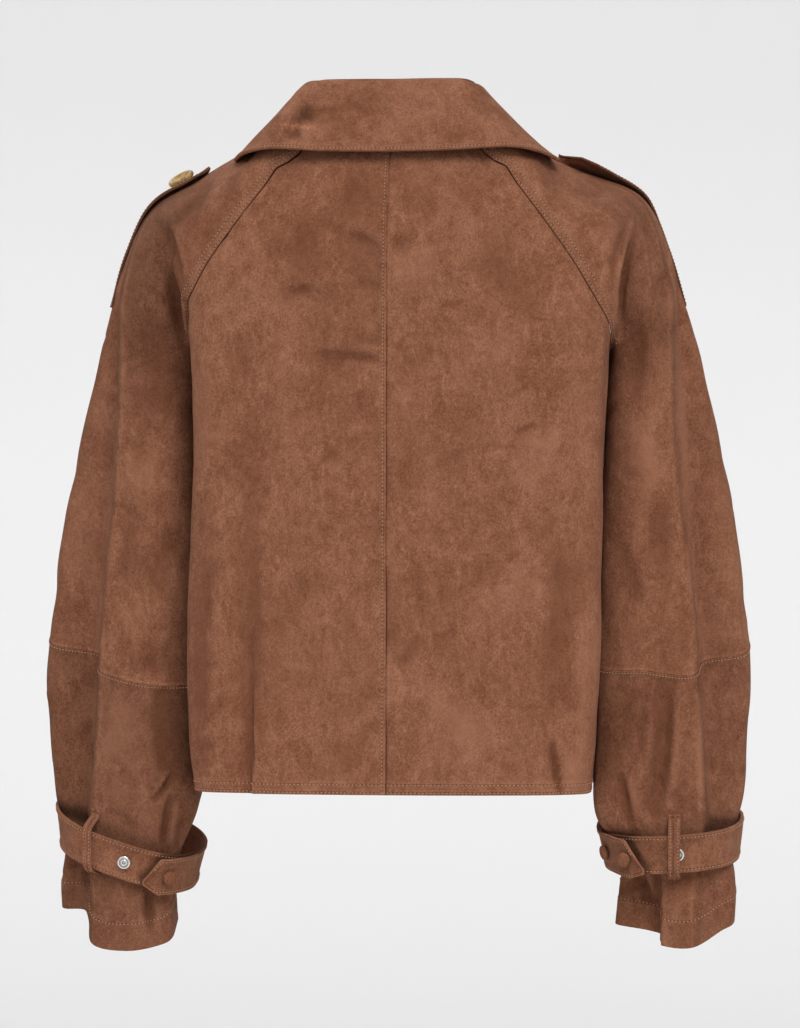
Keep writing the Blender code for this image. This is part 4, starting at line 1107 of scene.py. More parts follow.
# ---- body panels --------------------------------------------------------------------
HEM_FOLD_SHARES = np.array([.5250, .5310, .5370, .5430, .5490, .5550])  # extra columns at the fold
LOW_STEP, HIGH_STEP = .0024, .0019  # row spacing below and above the underarm
UNDER_LAP = WALL + .0014  # the left front lies this much deeper under the right one
PANEL_DIP = .0008  # how far a panel's edges roll in
SIDE_DIP_REACH = .0009
HEM_RAISED = {"back": .0006, "front": .0005}


def panel_heights():
    """Row heights at the seam, from the hem up: even below the underarm, then following
    the raglan seam's own steps."""
    low_count = int((UNDERARM_Z - HEM_Z) / LOW_STEP)
    low = HEM_Z + (UNDERARM_Z - HEM_Z) * edged(low_count, UNDERARM_Z - HEM_Z, True, False)[:-1]
    v = np.linspace(UNDERARM_ROW, 0, int(YOKE_HEIGHT / HIGH_STEP))
    return low, yoke_seam_z(v)


def back_panel(side):
    """A back panel: places at even shares from the centre back to the raglan or side seam,
    at heights that follow the seam and come together at the neck, with its creases,
    tucked edges and a raised hem moved along the normals."""
    low, high = panel_heights()
    share = edged(66, .15)
    if side > 0:
        share = np.sort(np.concatenate([share, HEM_FOLD_SHARES]))
    rows = [body_points(side, share * SIDE, z) for z in low]
    for z in high:
        centre = UNDERARM_Z + (z - UNDERARM_Z) * (NAPE_Z - UNDERARM_Z) / YOKE_HEIGHT
        rows.append(body_points(side, share * raglan_tau(side, z), centre + (z - centre) * share ** 2))
    flat = np.array(rows)
    normal = normals(flat, (0, 0))
    from_centre, from_side = both_ways(flat, 1)
    from_hem = along(flat, 0)
    relief = crease_relief(flat, normal, BACK_CREASES[side] + strewn(BACK_WRINKLES[side]), side)
    relief += unevenness(flat, 11 + side) * smooth(0, .03, from_side)
    raised = .0006 if side > 0 else -.0002
    shape = (relief + seam_dip(from_centre, PANEL_DIP, .0008)
             + seam_dip(from_side, PANEL_DIP, SIDE_DIP_REACH)
             + plateau(from_centre, CENTRE_ROW + .0008, raised)
             + plateau(from_hem, HEM_ROWS[1], HEM_RAISED["back"]))
    cloth = Cloth(f"back_{label(side)}", flat, shape, relief=relief)
    cloth.hem(from_hem)
    if side > 0:
        cloth.mark(from_centre, CENTRE_ROW)
        cloth.line(from_centre, CENTRE_ROW)
    cloth.extend()
    if side < 0:
        cloth.extend(last=False)
    cloth.shade = painted_crease_shading(cloth.grid, cloth.normal, BACK_PAINTED_SHADE[side])
    cloth.finish()


def front_panel(side):
    """A front: places at even shares from the side or raglan seam to past the centre, so
    that the two lap, at heights that fall towards the neck's front."""
    low, high = (heights[::2] for heights in panel_heights())
    share = edged(52, .17)
    past = LAP / (.33 * BODY[0].side)
    rows = [body_points(side, SIDE + share * (CENTRE_FRONT + past - SIDE), z) for z in low]
    rise = (CENTRE_FRONT_Z - UNDERARM_Z) / (FRONT_NECK_SEAM_Z - UNDERARM_Z)
    for z in front_height(high):
        seam = raglan_tau(side, z, True)
        height = z + (UNDERARM_Z + (z - UNDERARM_Z) * rise - z) * front_fall(share)
        rows.append(body_points(side, seam + share * (CENTRE_FRONT + past - seam), height))
    flat = np.array(rows)
    if side > 0:
        flat = flat + (1 - smooth(LAP + .004, LAP + .034, flat[..., 0]))[..., None] * [0, UNDER_LAP, 0]
    normal = normals(flat, (0, 0))
    from_side, from_edge = both_ways(flat, 1)
    from_hem = along(flat, 0)
    relief = crease_relief(flat, normal, FRONT_CREASES[side] + strewn(FRONT_WRINKLES[side]), side)
    calm = smooth(0, .03, from_side) * smooth(.01, .05, from_edge)
    relief = relief * calm + unevenness(flat, 21 + side) * calm
    shape = (relief + seam_dip(from_side, PANEL_DIP, SIDE_DIP_REACH)
             + plateau(from_hem, HEM_ROWS[1], HEM_RAISED["front"]))
    cloth = Cloth(f"front_{label(side)}", flat, shape, relief=relief)
    cloth.hem(from_hem)
    cloth.mark(from_edge, HEM_ROWS[1])
    cloth.line(from_edge, HEM_ROWS[1])
    cloth.extend(last=False)
    cloth.finish()


# ---- sleeve panels ------------------------------------------------------------------
BACK_SHARE = ((0, .62, 1), (0, .52, 1))  # this share of the columns lies on the back half
EVEN_V = 12  # the columns are spaced evenly at this row of the net
INNER_FILL = .0016  # the sleeve stands this much nearer to the body than its solid
INNER_CENTRE = (.21, -.01)
SLIM_Z, SLIM_REACH = -.405, .055  # where the sleeve's outer side is slimmer
# Painted shade just beyond the sleeve's fold and a painted highlight on its crest, where the darkness is
# negative.
BESIDE_FOLD = ((4.20, .13, .11), (3.94, -.16, .045))  # its place round the sleeve, how dark, how wide
RAGLAN_DIP, NECK_DIP, ELBOW_DIP = .0006, .0010, .0003  # how far the sleeve's edges roll in
RIGHT_LOWER = .0062  # the right shoulder lies this much lower beside the collar


def even_places(side, fixed, low, high, count, down):
    """Places on the sleeve's net that lie at even distances: down it at one u, or round
    it at one v."""
    dense, fixed = np.linspace(low, high, 401), np.array([float(fixed)])
    line = sleeve_points(side, fixed, dense)[:, 0] if down else sleeve_points(side, dense, fixed)[0]
    reach = along(line, 0)
    return np.interp(count * reach[-1], reach, dense)


def bell(value, middle, width):
    """exp(-((value - middle) / width)^2)"""
    return np.exp(-((value - middle) / width) ** 2)


def sleeve_cloth(side, low, high, rows, columns, creases):
    """The sleeve's sheet between two rows of the net, its normals and its relief. Below the
    underarm the first and last columns are one seam, so they share points and normals."""
    v = even_places(side, OUTER, low, high, rows, True)
    u = even_places(side, EVEN_V, 0, 10, np.interp(columns, *BACK_SHARE), False)
    flat = sleeve_points(side, u, v)
    inside, outside = ELBOW_MOVED[side]
    moved = inside * (1 - smooth(2.7, 4.0, u) + smooth(8.2, 10, u))
    moved = moved + outside * smooth(4.0, 4.6, u) * (1 - smooth(7, 9, u))
    flat[..., 2] += bell(v, ELBOW_ROW, 1.1)[:, None] * moved[None]
    flat[..., 0] -= side * SLIMMER[side] * bell(flat[..., 2], SLIM_Z, SLIM_REACH) * bell(u, OUTER, 1.7)[None]
    closed = v > UNDERARM_ROW
    normal = cloth_normals(flat, inner_centre(side), closed)
    relief = crease_relief(flat, normal, creases, side) + unevenness(flat, 31 + side)
    return flat, normal, relief, u, v, closed


def inner_centre(side):
    return side * INNER_CENTRE[0], INNER_CENTRE[1]


def inner_fill(flat, normal, side):
    """How far the sleeve stands out next to the body between underarm and elbow."""
    facing = smooth(.45, .9, -side * normal[..., 0])
    below_underarm = smooth(-.190, -.230, flat[..., 2])
    return INNER_FILL * (facing * below_underarm * (1 - smooth(.055, .075, flat[..., 1])))


def above_strap(side, grid):
    """Heights over the plane through the cuff strap's middle."""
    strap = STRAP[side]
    x, y, z = np.moveaxis(grid, -1, 0)
    return z - (strap.z + strap.lean_x * (x * side - strap.mid_x) - strap.lean_y * (y - strap.mid_y))


def sleeve_shade(side, part, flat, u, v):
    """How much darker the sleeve is: partly its own hide and partly painted shade, with painted shade beyond
    the fold and a painted highlight on its crest, painted shade in the lobe over the shoulder's end, a
    painted shadow above the cuff strap, and a painted shadow 1 - smooth across the strip that comes out
    behind the body."""
    edges = [ring.edge_left if side > 0 else ring.edge_right for ring in BODY]
    z = flat[..., 2]
    beside = np.abs(flat[..., 0]) - np.interp(z, [ring.z for ring in BODY], edges)
    painted_darkness, wide = STRIP_SHADE[side]
    strip = painted_darkness * (1 - smooth(0, wide, beside)) * smooth(UNDERARM_Z + .03, UNDERARM_Z - .03, z)
    strip = strip * smooth(HEM_Z - .02, HEM_Z + .012, z)
    beyond = BEYOND_FOLD_SHADE * smooth(3.95, 4.25, u) * (1 - smooth(6.5, 8, u))
    for place, darker, reach in BESIDE_FOLD:
        beyond = beyond + darker * bell(u, place, reach)
    lobe = smooth(1.6, 2.4, u)[None] * (1 - smooth(4.2, 5.0, u))[None]
    lobe = LOBE_SHADE[side] * lobe * (smooth(2.5, 4, v) * (1 - smooth(7, 10, v)))[:, None]
    # Painted shadow in the hollow just above the cuff strap, deeper beyond the fold.
    above = above_strap(side, flat) - STRAP_WIDTH / 2
    hollow = bell(np.maximum(above, 0), 0, .0085) * smooth(-.012, -.002, above)
    hollow = hollow * (.12 + .40 * smooth(3.9, 4.4, u) * (1 - smooth(6.5, 8, u)))[None] * part
    return SLEEVE_SHADE[side][part] + strip + beyond[None] + lobe + hollow


def upper_sleeve(side):
    """The neck's end of the left one stands up to the collar and the right one's is lower."""
    creases = SLEEVE_CREASES[side] + strewn(SLEEVE_WRINKLES[side])
    flat, normal, relief, u, v, closed = sleeve_cloth(
        side, 0, ELBOW_ROW, edged(190, .46), edged(146, .32), creases)
    across, across_back = both_ways(flat, 1)
    from_neck, from_elbow = both_ways(flat, 0)
    open_rows = ~closed
    beyond = np.where(open_rows[:, None], 0, from_neck - from_neck[open_rows][-1:])
    from_raglan = np.minimum(np.hypot(across, beyond), np.hypot(across_back, beyond))
    relief = relief * smooth(0, .012, from_raglan)
    inner = inner_fill(flat, normal, side)
    inner = inner + NECK_FILL[side] * (bell(v, 1.1, .9)[:, None] * bell(u, 2.2, 2.0)[None])
    if side < 0:
        beside_collar = smooth(.112, .134, -flat[..., 0]) * (1 - smooth(.138, .184, -flat[..., 0]))
        facing_up = smooth(.2, .7, normal[..., 2])
        inner = inner - RIGHT_LOWER * beside_collar * smooth(.006, .030, from_raglan) * facing_up
    shape = (relief + inner + seam_dip(from_raglan, RAGLAN_DIP, .0006)
             + plateau(from_raglan, RAGLAN_ROWS[1], .0007) + seam_dip(from_elbow, ELBOW_DIP, .0008)
             + seam_dip(from_neck, NECK_DIP))
    # A painted highlight along the upper sleeve's edge at the elbow seam.
    shade = sleeve_shade(side, 0, flat, u, v) - .26 * smooth(.0034, .0014, from_elbow)
    cloth = Cloth(f"sleeve_upper_{label(side)}", flat, shape, inner_centre(side), relief, shade, closed)
    cloth.mark(from_raglan, *RAGLAN_ROWS)
    for distance in (across, across_back):
        for at in RAGLAN_ROWS:
            cloth.line(distance, at, open_rows)
    cloth.extend(axis=0)
    cloth.finish()


def lower_sleeve(side):
    """The sleeve's lower part, from the elbow seam to the cuff, calm under the strap."""
    creases = CUFF_CREASES[side] + strewn(CUFF_WRINKLES[side])
    flat, normal, relief, u, v, closed = sleeve_cloth(
        side, ELBOW_ROW, CUFF_ROW, edged(104, .22), edged(150, .32), creases)
    from_elbow, from_cuff = both_ways(flat, 0)
    clear = smooth(STRAP_WIDTH * .45, STRAP_WIDTH * .75, np.abs(above_strap(side, flat)))
    inner = inner_fill(flat, normal, side) * smooth(-.560, -.520, flat[..., 2])
    shape = (relief * clear + inner + seam_dip(from_elbow, ELBOW_DIP, .0004)
             + plateau(from_elbow, ELBOW_ROW_IN, .0004) + plateau(from_cuff, CUFF_ROW_Z, .0005))
    shade = sleeve_shade(side, 1, flat, u, v)
    cloth = Cloth(f"sleeve_lower_{label(side)}", flat, shape, inner_centre(side), relief, shade, closed)
    for distance, at, end in ((from_elbow, ELBOW_ROW_IN, "elbow"), (from_cuff, CUFF_ROW_Z, "cuff")):
        cloth.mark(distance, at)
        cloth.line(distance, at, down=True, thread=f"{end}_stitches")
    cloth.finish(pitch=(.0026, None))


# ---- the collar ---------------------------------------------------------------------
COLLAR_CENTRE = (0, -.02)
STAND_BOW = .0032
STAND_IN = .0010  # the stand lies this far inside the seam and the fall
FOOT_LIFT = (.0064, .0006)  # the stand's foot is this far up from the neck seam, at the back and in front
CORNER_AT, CORNER_WIDTH = .285, .035
CORNER = {1: (.0026, 0, .0010), -1: (.0018, 0, -.0014)}  # how far the roll stands out at the corner
FLATTER = {1: .3, -1: .8}
BOW = ((0, .06, .2, .4, .6, .8, 1), (-.002, 0, .002, .003, .003, .002, 0))
UPRIGHT = np.array([0, 0, 1.0])


def front_fall(share):
    """How the neck's edge comes down towards the centre front: steeply, then level."""
    return 1 - (1 - np.minimum(share / .8, 1)) ** 2


def neck_line():
    """The neck seam from the centre back to the left front's centre."""
    share = np.linspace(0, 1, 7)
    back = body_points(1, share * raglan_tau(1, NECK_SEAM_Z), NAPE_Z + share ** 2 * (NECK_SEAM_Z - NAPE_Z))
    over = sleeve_points(1, np.linspace(0, 10, 13), np.array([0.0]))[0]
    share = np.linspace(0, 1, 9)
    seam = raglan_tau(1, FRONT_NECK_SEAM_Z, True)
    height = FRONT_NECK_SEAM_Z + (CENTRE_FRONT_Z - FRONT_NECK_SEAM_Z) * front_fall(share)
    front = body_points(1, seam + share * (CENTRE_FRONT - seam), height)
    return np.concatenate([back, over[1:], front[1:]])


def joined(right, left):
    """Two halves on +X that start at the centre back, the first one mirrored."""
    return np.concatenate([mirrored(right[::-1], -1)[:-1], left])


def collar_stand():
    """The stand: straight lines from the neck seam up to under the roll, each bowed inwards
    by STAND_BOW times its share times the rest of it."""
    line = neck_line()
    length = along(line, 0)
    t = np.linspace(0, 1, 70)
    foot = picked(t, length / length[-1], line)
    roll = factors(np.linspace(0, 1, len(COLLAR)), t) @ np.array(COLLAR)[:, :3]
    outward = unit(roll * [1, 1, 0])
    roll = roll - outward * (DOUBLE + STAND_IN) - [0, 0, DOUBLE * .5]
    lift = FOOT_LIFT[0] + (FOOT_LIFT[1] - FOOT_LIFT[0]) * smooth(.50, .66, t)
    foot = foot + unit(roll - foot) * lift[:, None] - outward * STAND_IN
    share = np.linspace(0, 1, 12)[None, :, None]
    bow = STAND_BOW * share * (1 - share)
    half = foot[:, None] + (roll - foot)[:, None] * share - outward[:, None] * bow
    half[-1, :, 0] = STAND_CENTRE_GAP / 2
    grid = joined(half, half)
    grid[..., 0] += COLLAR_SHIFT * share[0, :, 0]
    Cloth("collar_stand", grid, 0.0, COLLAR_CENTRE).finish()


def collar_half(side, t, share):
    """Half of the fall on +X, from the centre back to its front end. On the right its
    corner reaches further over the shoulder and lies flatter in front of it."""
    table = np.array(COLLAR)
    if side < 0:
        table[4:6, 3:] = COLLAR_RIGHT
    weights = factors(np.linspace(0, 1, len(COLLAR)), t)
    roll, edge = weights @ table[:, :3], weights @ table[:, 3:]
    roll = roll + bell(t, CORNER_AT, CORNER_WIDTH)[:, None] * CORNER[side]
    out = unit((edge - roll) * [1, 1, 0])
    bow = factors(BOW[0], share) @ BOW[1]
    flatter = 1 - FLATTER[side] * smooth(.14, .30, t) * (1 - smooth(.55, .75, t))
    lift = np.where(share > .06, bow[None] * flatter[:, None], bow[None])
    return (roll[:, None] + (edge - roll)[:, None] * share[None, :, None]
            + out[:, None] * (lift * .5)[..., None] + UPRIGHT * lift[..., None])


def collar_fall():
    """The fall from the roll line to its free edge: straight lines across, raised by a
    shallow bow, over a roll that starts with the sheet bent down."""
    t, share = edged(126, .30, False, True), edged(42, .075, False, True)
    flat = joined(collar_half(-1, t, share), collar_half(1, t, share)) + [COLLAR_SHIFT, 0, 0]
    normal = normals(flat, COLLAR_CENTRE)
    from_edge = both_ways(flat, 1)[1]
    run, run_back = both_ways(flat, 0)
    relief = crease_relief(flat, normal, COLLAR_CREASES + strewn(COLLAR_WRINKLES), 1)
    relief += unevenness(flat, 41, .0006) * smooth(0, .02, from_edge)
    from_rim = np.minimum(from_edge, np.minimum(run, run_back))
    shape = relief * smooth(0, .008, from_rim) + plateau(from_rim, .0040, .0004)
    cloth = Cloth("collar_fall", flat, shape, COLLAR_CENTRE, relief)
    cloth.shade = painted_crease_shading(cloth.grid, cloth.normal, COLLAR_PAINTED_SHADE)
    cloth.mark(from_rim, EDGE_ROW)
    cloth.line(from_edge, EDGE_ROW, np.s_[3:-3])
    cloth.line(run, EDGE_ROW, np.s_[:40, 2:-2], down=True)
    cloth.line(run_back, EDGE_ROW, np.s_[-40:, 2:-2], down=True)
    cloth.finish(DOUBLE, .0007, (.0029,))


# ---- cuff straps and belt loops -----------------------------------------------------
TURNED_IN = (.0036, .0003)  # how wide and how thick a strap's turned edge is
POINT_BLUNT = .12  # the tab's very end is this share of the strap's width
# How dark and how wide the painted shadow round the tab's point is.
TAB_SHADOW, TAB_SHADOW_REACH = .55, .0022
LOOP_INSET = .0017  # from the loop's edges to its stitches


def strap_point(strap, side, degrees, height, lift=0.0):
    """A point of the cuff strap's outer face: an oval loop, at a height across the width."""
    angle = np.radians(degrees)
    c, s = np.cos(angle), np.sin(angle)
    lift = lift - (STRAP_CONE[0] - STRAP_CONE[1] * c) * (.5 - height / STRAP_WIDTH)
    x = strap.mid_x + (strap.half_x + lift) * np.sign(c) * np.abs(c) ** STRAP_SQUARE
    y = strap.mid_y + (strap.half_y + lift) * np.sign(s) * np.abs(s) ** STRAP_SQUARE
    z = strap.z + strap.lean_x * (x - strap.mid_x) - strap.lean_y * (y - strap.mid_y) + height
    return np.stack([x * side, y, z], axis=-1)


def tab_lift(side, turned):
    """How far the band stands off its cone after so many turns: it climbs onto its own
    start, and its point curls up."""
    return TAB_LIFT * smooth(.68, .84, turned) + TAB_CURL[side] * smooth(1.06, 1.17, turned)


def tab_drop(side, turned):
    """How far the tab has come down below the band's line after so many turns."""
    return TAB_DROP[side] * smooth(1.02, 1.17, turned)


def tab_taper(side, to_point):
    """The band's half width and how much lower its middle lies, near the tab's point."""
    half = STRAP_WIDTH / 2 * np.clip(POINT_BLUNT + to_point / TAB_POINT, POINT_BLUNT, 1)
    return half, TAB_POINT_LOWER[side] * (1 - np.clip(to_point / TAB_POINT, 0, 1))


def cuff_strap(side):
    """One band once round the sleeve: its under end starts at the tab and its pointed end
    comes to lie on the start, with a painted shadow round it and a painted highlight along the tab's edge."""
    strap = STRAP[side]
    lap = math.degrees(STRAP_TAB / strap.half_x)
    start, end = strap.tab + lap, strap.tab - 360
    degrees = start + (end - start) * edged(220, .43, True, True)
    turned = (start - degrees) / 360
    half_width, lower = tab_taper(side, np.radians(degrees - degrees[-1]) * strap.half_x)
    share = -1 + 2 * edged(12, STRAP_WIDTH)
    height = half_width[:, None] * share[None] - (lower + tab_drop(side, turned))[:, None]
    flat = strap_point(strap, side, degrees[:, None], height, tab_lift(side, turned)[:, None])
    centre = (side * strap.mid_x, strap.mid_y)
    (across, across_back), from_edge = both_ways(flat, 1), rim_distance(flat)
    relief = unevenness(flat, 51 + side, .0005) * smooth(0, .004, from_edge)
    past_tip = np.radians(degrees - strap.tab)[:, None] * strap.half_x
    tab_half, tab_lower = tab_taper(side, past_tip)
    middle = -tab_lower - TAB_DROP[side] * (1 - smooth(0, .040, past_tip))
    outside = np.hypot(np.maximum(-past_tip, 0), np.maximum(np.abs(height - middle) - tab_half, 0) * .75)
    shadow = TAB_SHADOW * bell(outside, 0, TAB_SHADOW_REACH) * (turned < .5)[:, None]
    on_tab = smooth(1.0, 1.02, turned)[:, None]
    # Painted shadow round the tab, the band 4 % darker, the tab 8 % more, and a painted highlight along the
    # tab's edge.
    shade = .04 + shadow + on_tab * (.08 - .30 * smooth(.0013, .0004, from_edge))
    shape = relief + plateau(from_edge, *TURNED_IN)
    cloth = Cloth(f"cuff_strap_{label(side)}", flat, shape, centre, relief, shade)
    cloth.mark(from_edge, EDGE_ROW)
    cloth.line(across, EDGE_ROW, np.s_[8:-7, :10])
    cloth.line(across_back, EDGE_ROW, np.s_[8:-7, -10:])
    cloth.finish(DOUBLE, .0006, (.0030,))


def rim_distance(grid):
    """Distances from the nearest of a sheet's four edges."""
    return np.minimum(np.minimum(*both_ways(grid, 1)), np.minimum(*both_ways(grid, 0)))


def strap_loop(side):
    """A narrow band over the strap, with both ends on the sleeve: a profile of distances
    from the strap's face, drawn through smoothly."""
    strap = STRAP[side]
    middle, ahead = (strap_point(strap, side, strap.loop + turn, LOOP_RISE) for turn in (0, 1))
    way = unit(ahead - middle)
    out = np.cross(way, UPRIGHT)
    out = unit(out * np.sign(np.dot(out, middle - [side * strap.mid_x, strap.mid_y, middle[2]])))
    sleeve = sleeve_points(side, np.linspace(1, 6, 101), np.linspace(ELBOW_ROW, CUFF_ROW, 81))
    sleeve = sleeve.reshape(-1, 3)

    def seat(h):
        """How far out of the strap's face a point lies that rests on the sleeve."""
        place = middle + UPRIGHT * h * LOOP_LENGTH
        near = np.hypot(sleeve[:, 0] - place[0], sleeve[:, 2] - place[2]) < LOOP_WIDTH[side] / 2
        return (sleeve[near, 1].max() + LOOP_THICK + CLEARANCE - place[1]) / out[1]

    profile = np.array([(-.5, seat(-.5)), (-.455, -.0028), (-.41, .0030), (-.36, .0044), (-.1, .0046),
                        (.18, .0044), (.24, .0030), (.33, (seat(.38) + .003) / 2), (.40, seat(.40)),
                        (.5, seat(.5))])
    h = -.5 + edged(44, LOOP_LENGTH)
    d = factors(profile[:, 0], h) @ profile[:, 1]
    w = (edged(6, LOOP_WIDTH[side]) - .5) * LOOP_WIDTH[side]
    flat = (middle + way * w[None, :, None] + UPRIGHT * (h * LOOP_LENGTH)[:, None, None]
            + out * d[:, None, None])
    centre = (side * strap.mid_x, strap.mid_y)
    across, across_back = both_ways(flat, 1)
    from_edge = rim_distance(flat)
    cloth = Cloth(f"strap_loop_{label(side)}", flat, plateau(from_edge, .0026, .0002), centre)
    cloth.mark(from_edge, LOOP_INSET)
    half = flat.shape[1] // 2
    cloth.line(across, LOOP_INSET, np.s_[4:-4, :half])
    cloth.line(across_back, LOOP_INSET, np.s_[4:-4, half:])
    cloth.finish(LOOP_THICK, pitch=(.0028,))


# ---- epaulettes ---------------------------------------------------------------------
BED_SHARE, BED_ACROSS = np.linspace(0, 1, 25), np.linspace(-1, 1, 7)
BED_REACH = .0026
BED_DEPTH = -.045  # the sleeve's points below this are its far side
TIP_DROP, TIP_STAND = .0074, .0138  # of the right strap's end


def epaulette_line(side, share):
    """The shoulder's ridge under the strap's middle, and the direction away from it."""
    start = EPAULETTE_START[side]
    top = sleeve_points(side, np.array([float(OUTER)]), start + (EPAULETTE_END - start) * share)[:, 0]
    normal = np.cross(np.gradient(top, axis=0), [0, side, 0])
    normal = unit(normal * np.sign(normal[:, 2:3] + side * normal[:, 0:1]))
    ahead = EPAULETTE_Y - EPAULETTE_AHEAD[side] * smooth(.20, .75, share)
    return np.stack([top[:, 0], ahead, top[:, 2]], axis=-1), normal


def epaulette_bed(side):
    """Heights of the sleeve under the strap, on a net along and across it. Each is the mean
    of the sleeve's points around the place, weighted by exp(-(distance / 2.6 mm)^2)."""
    line, up = epaulette_line(side, BED_SHARE)
    cloth = sleeve_points(side, np.linspace(3.0, 8.8, 120), np.linspace(1.2, 7.0, 150)).reshape(-1, 3)
    bed = np.zeros((len(BED_SHARE), len(BED_ACROSS)))
    for i, point in enumerate(line):
        for j, k in enumerate(BED_ACROSS):
            gap = cloth - (point + [0, k * EPAULETTE_WIDTH / 2, 0])
            height = gap @ up[i]
            beside = np.sum(gap ** 2, axis=1) - height ** 2
            weight = np.exp(-beside / BED_REACH ** 2) * (height > BED_DEPTH)
            bed[i, j] = np.sum(weight * height) / np.sum(weight)
    return bed


def epaulette_form(side, bed, share, k):
    """The strap's outer face at places share along and k across it: on the sleeve, with a
    small gap. The left strap's end and back edge lift a little, and the right one's back
    edge curls up towards its end."""
    line, up = epaulette_line(side, share)
    height = factors(BED_SHARE, share) @ bed @ factors(BED_ACROSS, k).T + EPAULETTE_THICK + EPAULETTE_GAP
    end = np.clip(1 - share / EPAULETTE_CURL[side], 0, 1)[:, None]
    point = np.clip(.15 + EPAULETTE_LENGTH * share / EPAULETTE_POINT[side], 0, 1)[:, None]
    back_edge = ((k + 1) / 2)[None]
    stand = 0.0
    if side > 0:
        height = height + .0022 * end ** 1.5 + .0017 * back_edge ** 4
    else:
        stand = end ** .8 * np.clip((k + .3) / 1.3, 0, 1)[None]
        height = (height + TIP_STAND * (.50 + .50 * point) * stand ** 1.3 - .0010 * back_edge * (1 - end)
                  - TIP_DROP * (1 - smooth(0, .30, share))[:, None])
    across = EPAULETTE_WIDTH / 2 * (point * k[None]) - .0060 * stand
    return line[:, None] + across[..., None] * [0, 1.0, 0] + up[:, None] * height[..., None]


def epaulette(side, bed):
    """A strap on the shoulder: its form on even places along and across, with flat waves
    and a ridge where its edge is turned in, with painted shade over it, deepest along its back edge."""
    flat = epaulette_form(side, bed, edged(92, EPAULETTE_LENGTH), -1 + 2 * edged(24, EPAULETTE_WIDTH))
    centre = flat.mean(axis=(0, 1)) - [side * .1, 0, .2]
    width, width_back = both_ways(flat, 1)
    from_edge = np.minimum(np.minimum(width, width_back), along(flat, 0))
    relief = unevenness(flat, 61 + side, .0004) * smooth(0, .004, from_edge)
    shape = relief + plateau(from_edge, *TURNED_IN)
    # Painted shade over the strap, deepest along its back edge where it stands off the shoulder.
    shade = .10 + .42 * smooth(.0060, .0015, width_back)
    cloth = Cloth(f"epaulette_{label(side)}", flat, shape, centre, relief, shade)
    cloth.mark(from_edge, EDGE_ROW)
    cloth.line(width, EDGE_ROW, np.s_[9:-2, :16])
    cloth.line(width_back, EDGE_ROW, np.s_[9:-2, -16:])
    cloth.finish(EPAULETTE_THICK, .0005, (.0030,))


# ---- buttons and studs --------------------------------------------------------------
BUTTON_SEAT = CLEARANCE + .0003
TURNED_STEPS = 40
# Profiles as (radius, height), in shares of the button's radius and thickness.
BUTTON_PROFILE = ((.02, 0), (.70, 0), (.88, .06), (.97, .26), (1, .58), (.96, .86), (.88, 1), (.78, .98),
                  (.66, .82), (.52, .56), (.30, .52), (.02, .52))
DOME_ANGLES = np.radians((15, 30, 45, 60, 75, 88))
DOME_PROFILE = ((.02, 0), (.80, 0), (.93, .10), (1.0, .34), (.97, .56),
                *((.96 * math.cos(a), .56 + .44 * math.sin(a)) for a in DOME_ANGLES))
STUD_PROFILE = ((.02, 0), (.86, 0), (.97, .20), (1.0, .50), (.95, .85), (.84, 1.0), (.72, .92), (.66, .52),
                (.58, .46), (.52, .50), (.47, .80), (.38, .92), (.28, .84), (.22, .40), (.14, .36),
                (.10, .60), (.02, .66))
THREAD_SPREAD, THREAD_REACH, THREAD_AT = .0009, .0016, .53


def spokes(axis):
    """Two directions square to an axis and to each other."""
    first = unit(np.cross(axis, UPRIGHT))
    return first, np.cross(axis, first)


def turned_object(replaced, material, profile, size, middle, normal, shade=None):
    """A profile turned round an axis: angle times profile as one array, stood on middle
    along normal, its two ends closed by small discs."""
    name = f"{replaced}_{'metal' if material == 'steel' else material}"
    radius, height = (np.array(profile) * size).T[..., None, None]
    points = middle + height * normal + radius * circle(TURNED_STEPS, *spokes(normal))
    faces = tube_faces(len(profile), TURNED_STEPS)
    mesh = bpy.data.meshes.new(name)
    caps = [faces[TURNED_STEPS - 1::-1, 0].tolist(), faces[-TURNED_STEPS:, 3].tolist()]
    mesh.from_pydata(points.reshape(-1, 3), [], faces.tolist() + caps)
    if shade is not None:
        set_field(mesh, "shade", np.repeat(shade, TURNED_STEPS))
    obj = piece(name, mesh, material)
    mesh.set_sharp_from_angle(angle=math.radians(50))
    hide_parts(replaced)
    return name


def horn_button(replaced, middle, normal):
    """A button with a raised rim, a dished face and a cross of thread in its four holes."""
    name = turned_object(replaced, "horn", BUTTON_PROFILE, (BUTTON_R, BUTTON_THICK), middle, normal)
    first, second = spokes(normal)
    lines = []
    for way, beside in ((first, second), (second, first)):
        for k in (-1, 1):
            start = middle + normal * (BUTTON_THICK * THREAD_AT) + beside * k * THREAD_SPREAD
            ends = np.array([start - way * THREAD_REACH, start + way * THREAD_REACH])
            lines.append(np.concatenate([ends, np.tile(normal, (2, 1))], axis=1))
    stitch_object(f"{name}_thread", lines, .0030)


def front_buttons():
    """Buttons down the right front, each square to the cloth above and below it."""
    for number, z in enumerate(FRONT_BUTTON_Z, start=1):
        point, above, below = (body_points(-1, CENTRE_FRONT, z + dz) for dz in (0, BUTTON_R, -BUTTON_R))
        normal = unit(np.cross([1, 0, 0], above - below))
        normal *= -np.sign(normal[1])
        horn_button(f"front_button_{number}", point + normal * BUTTON_SEAT, normal)


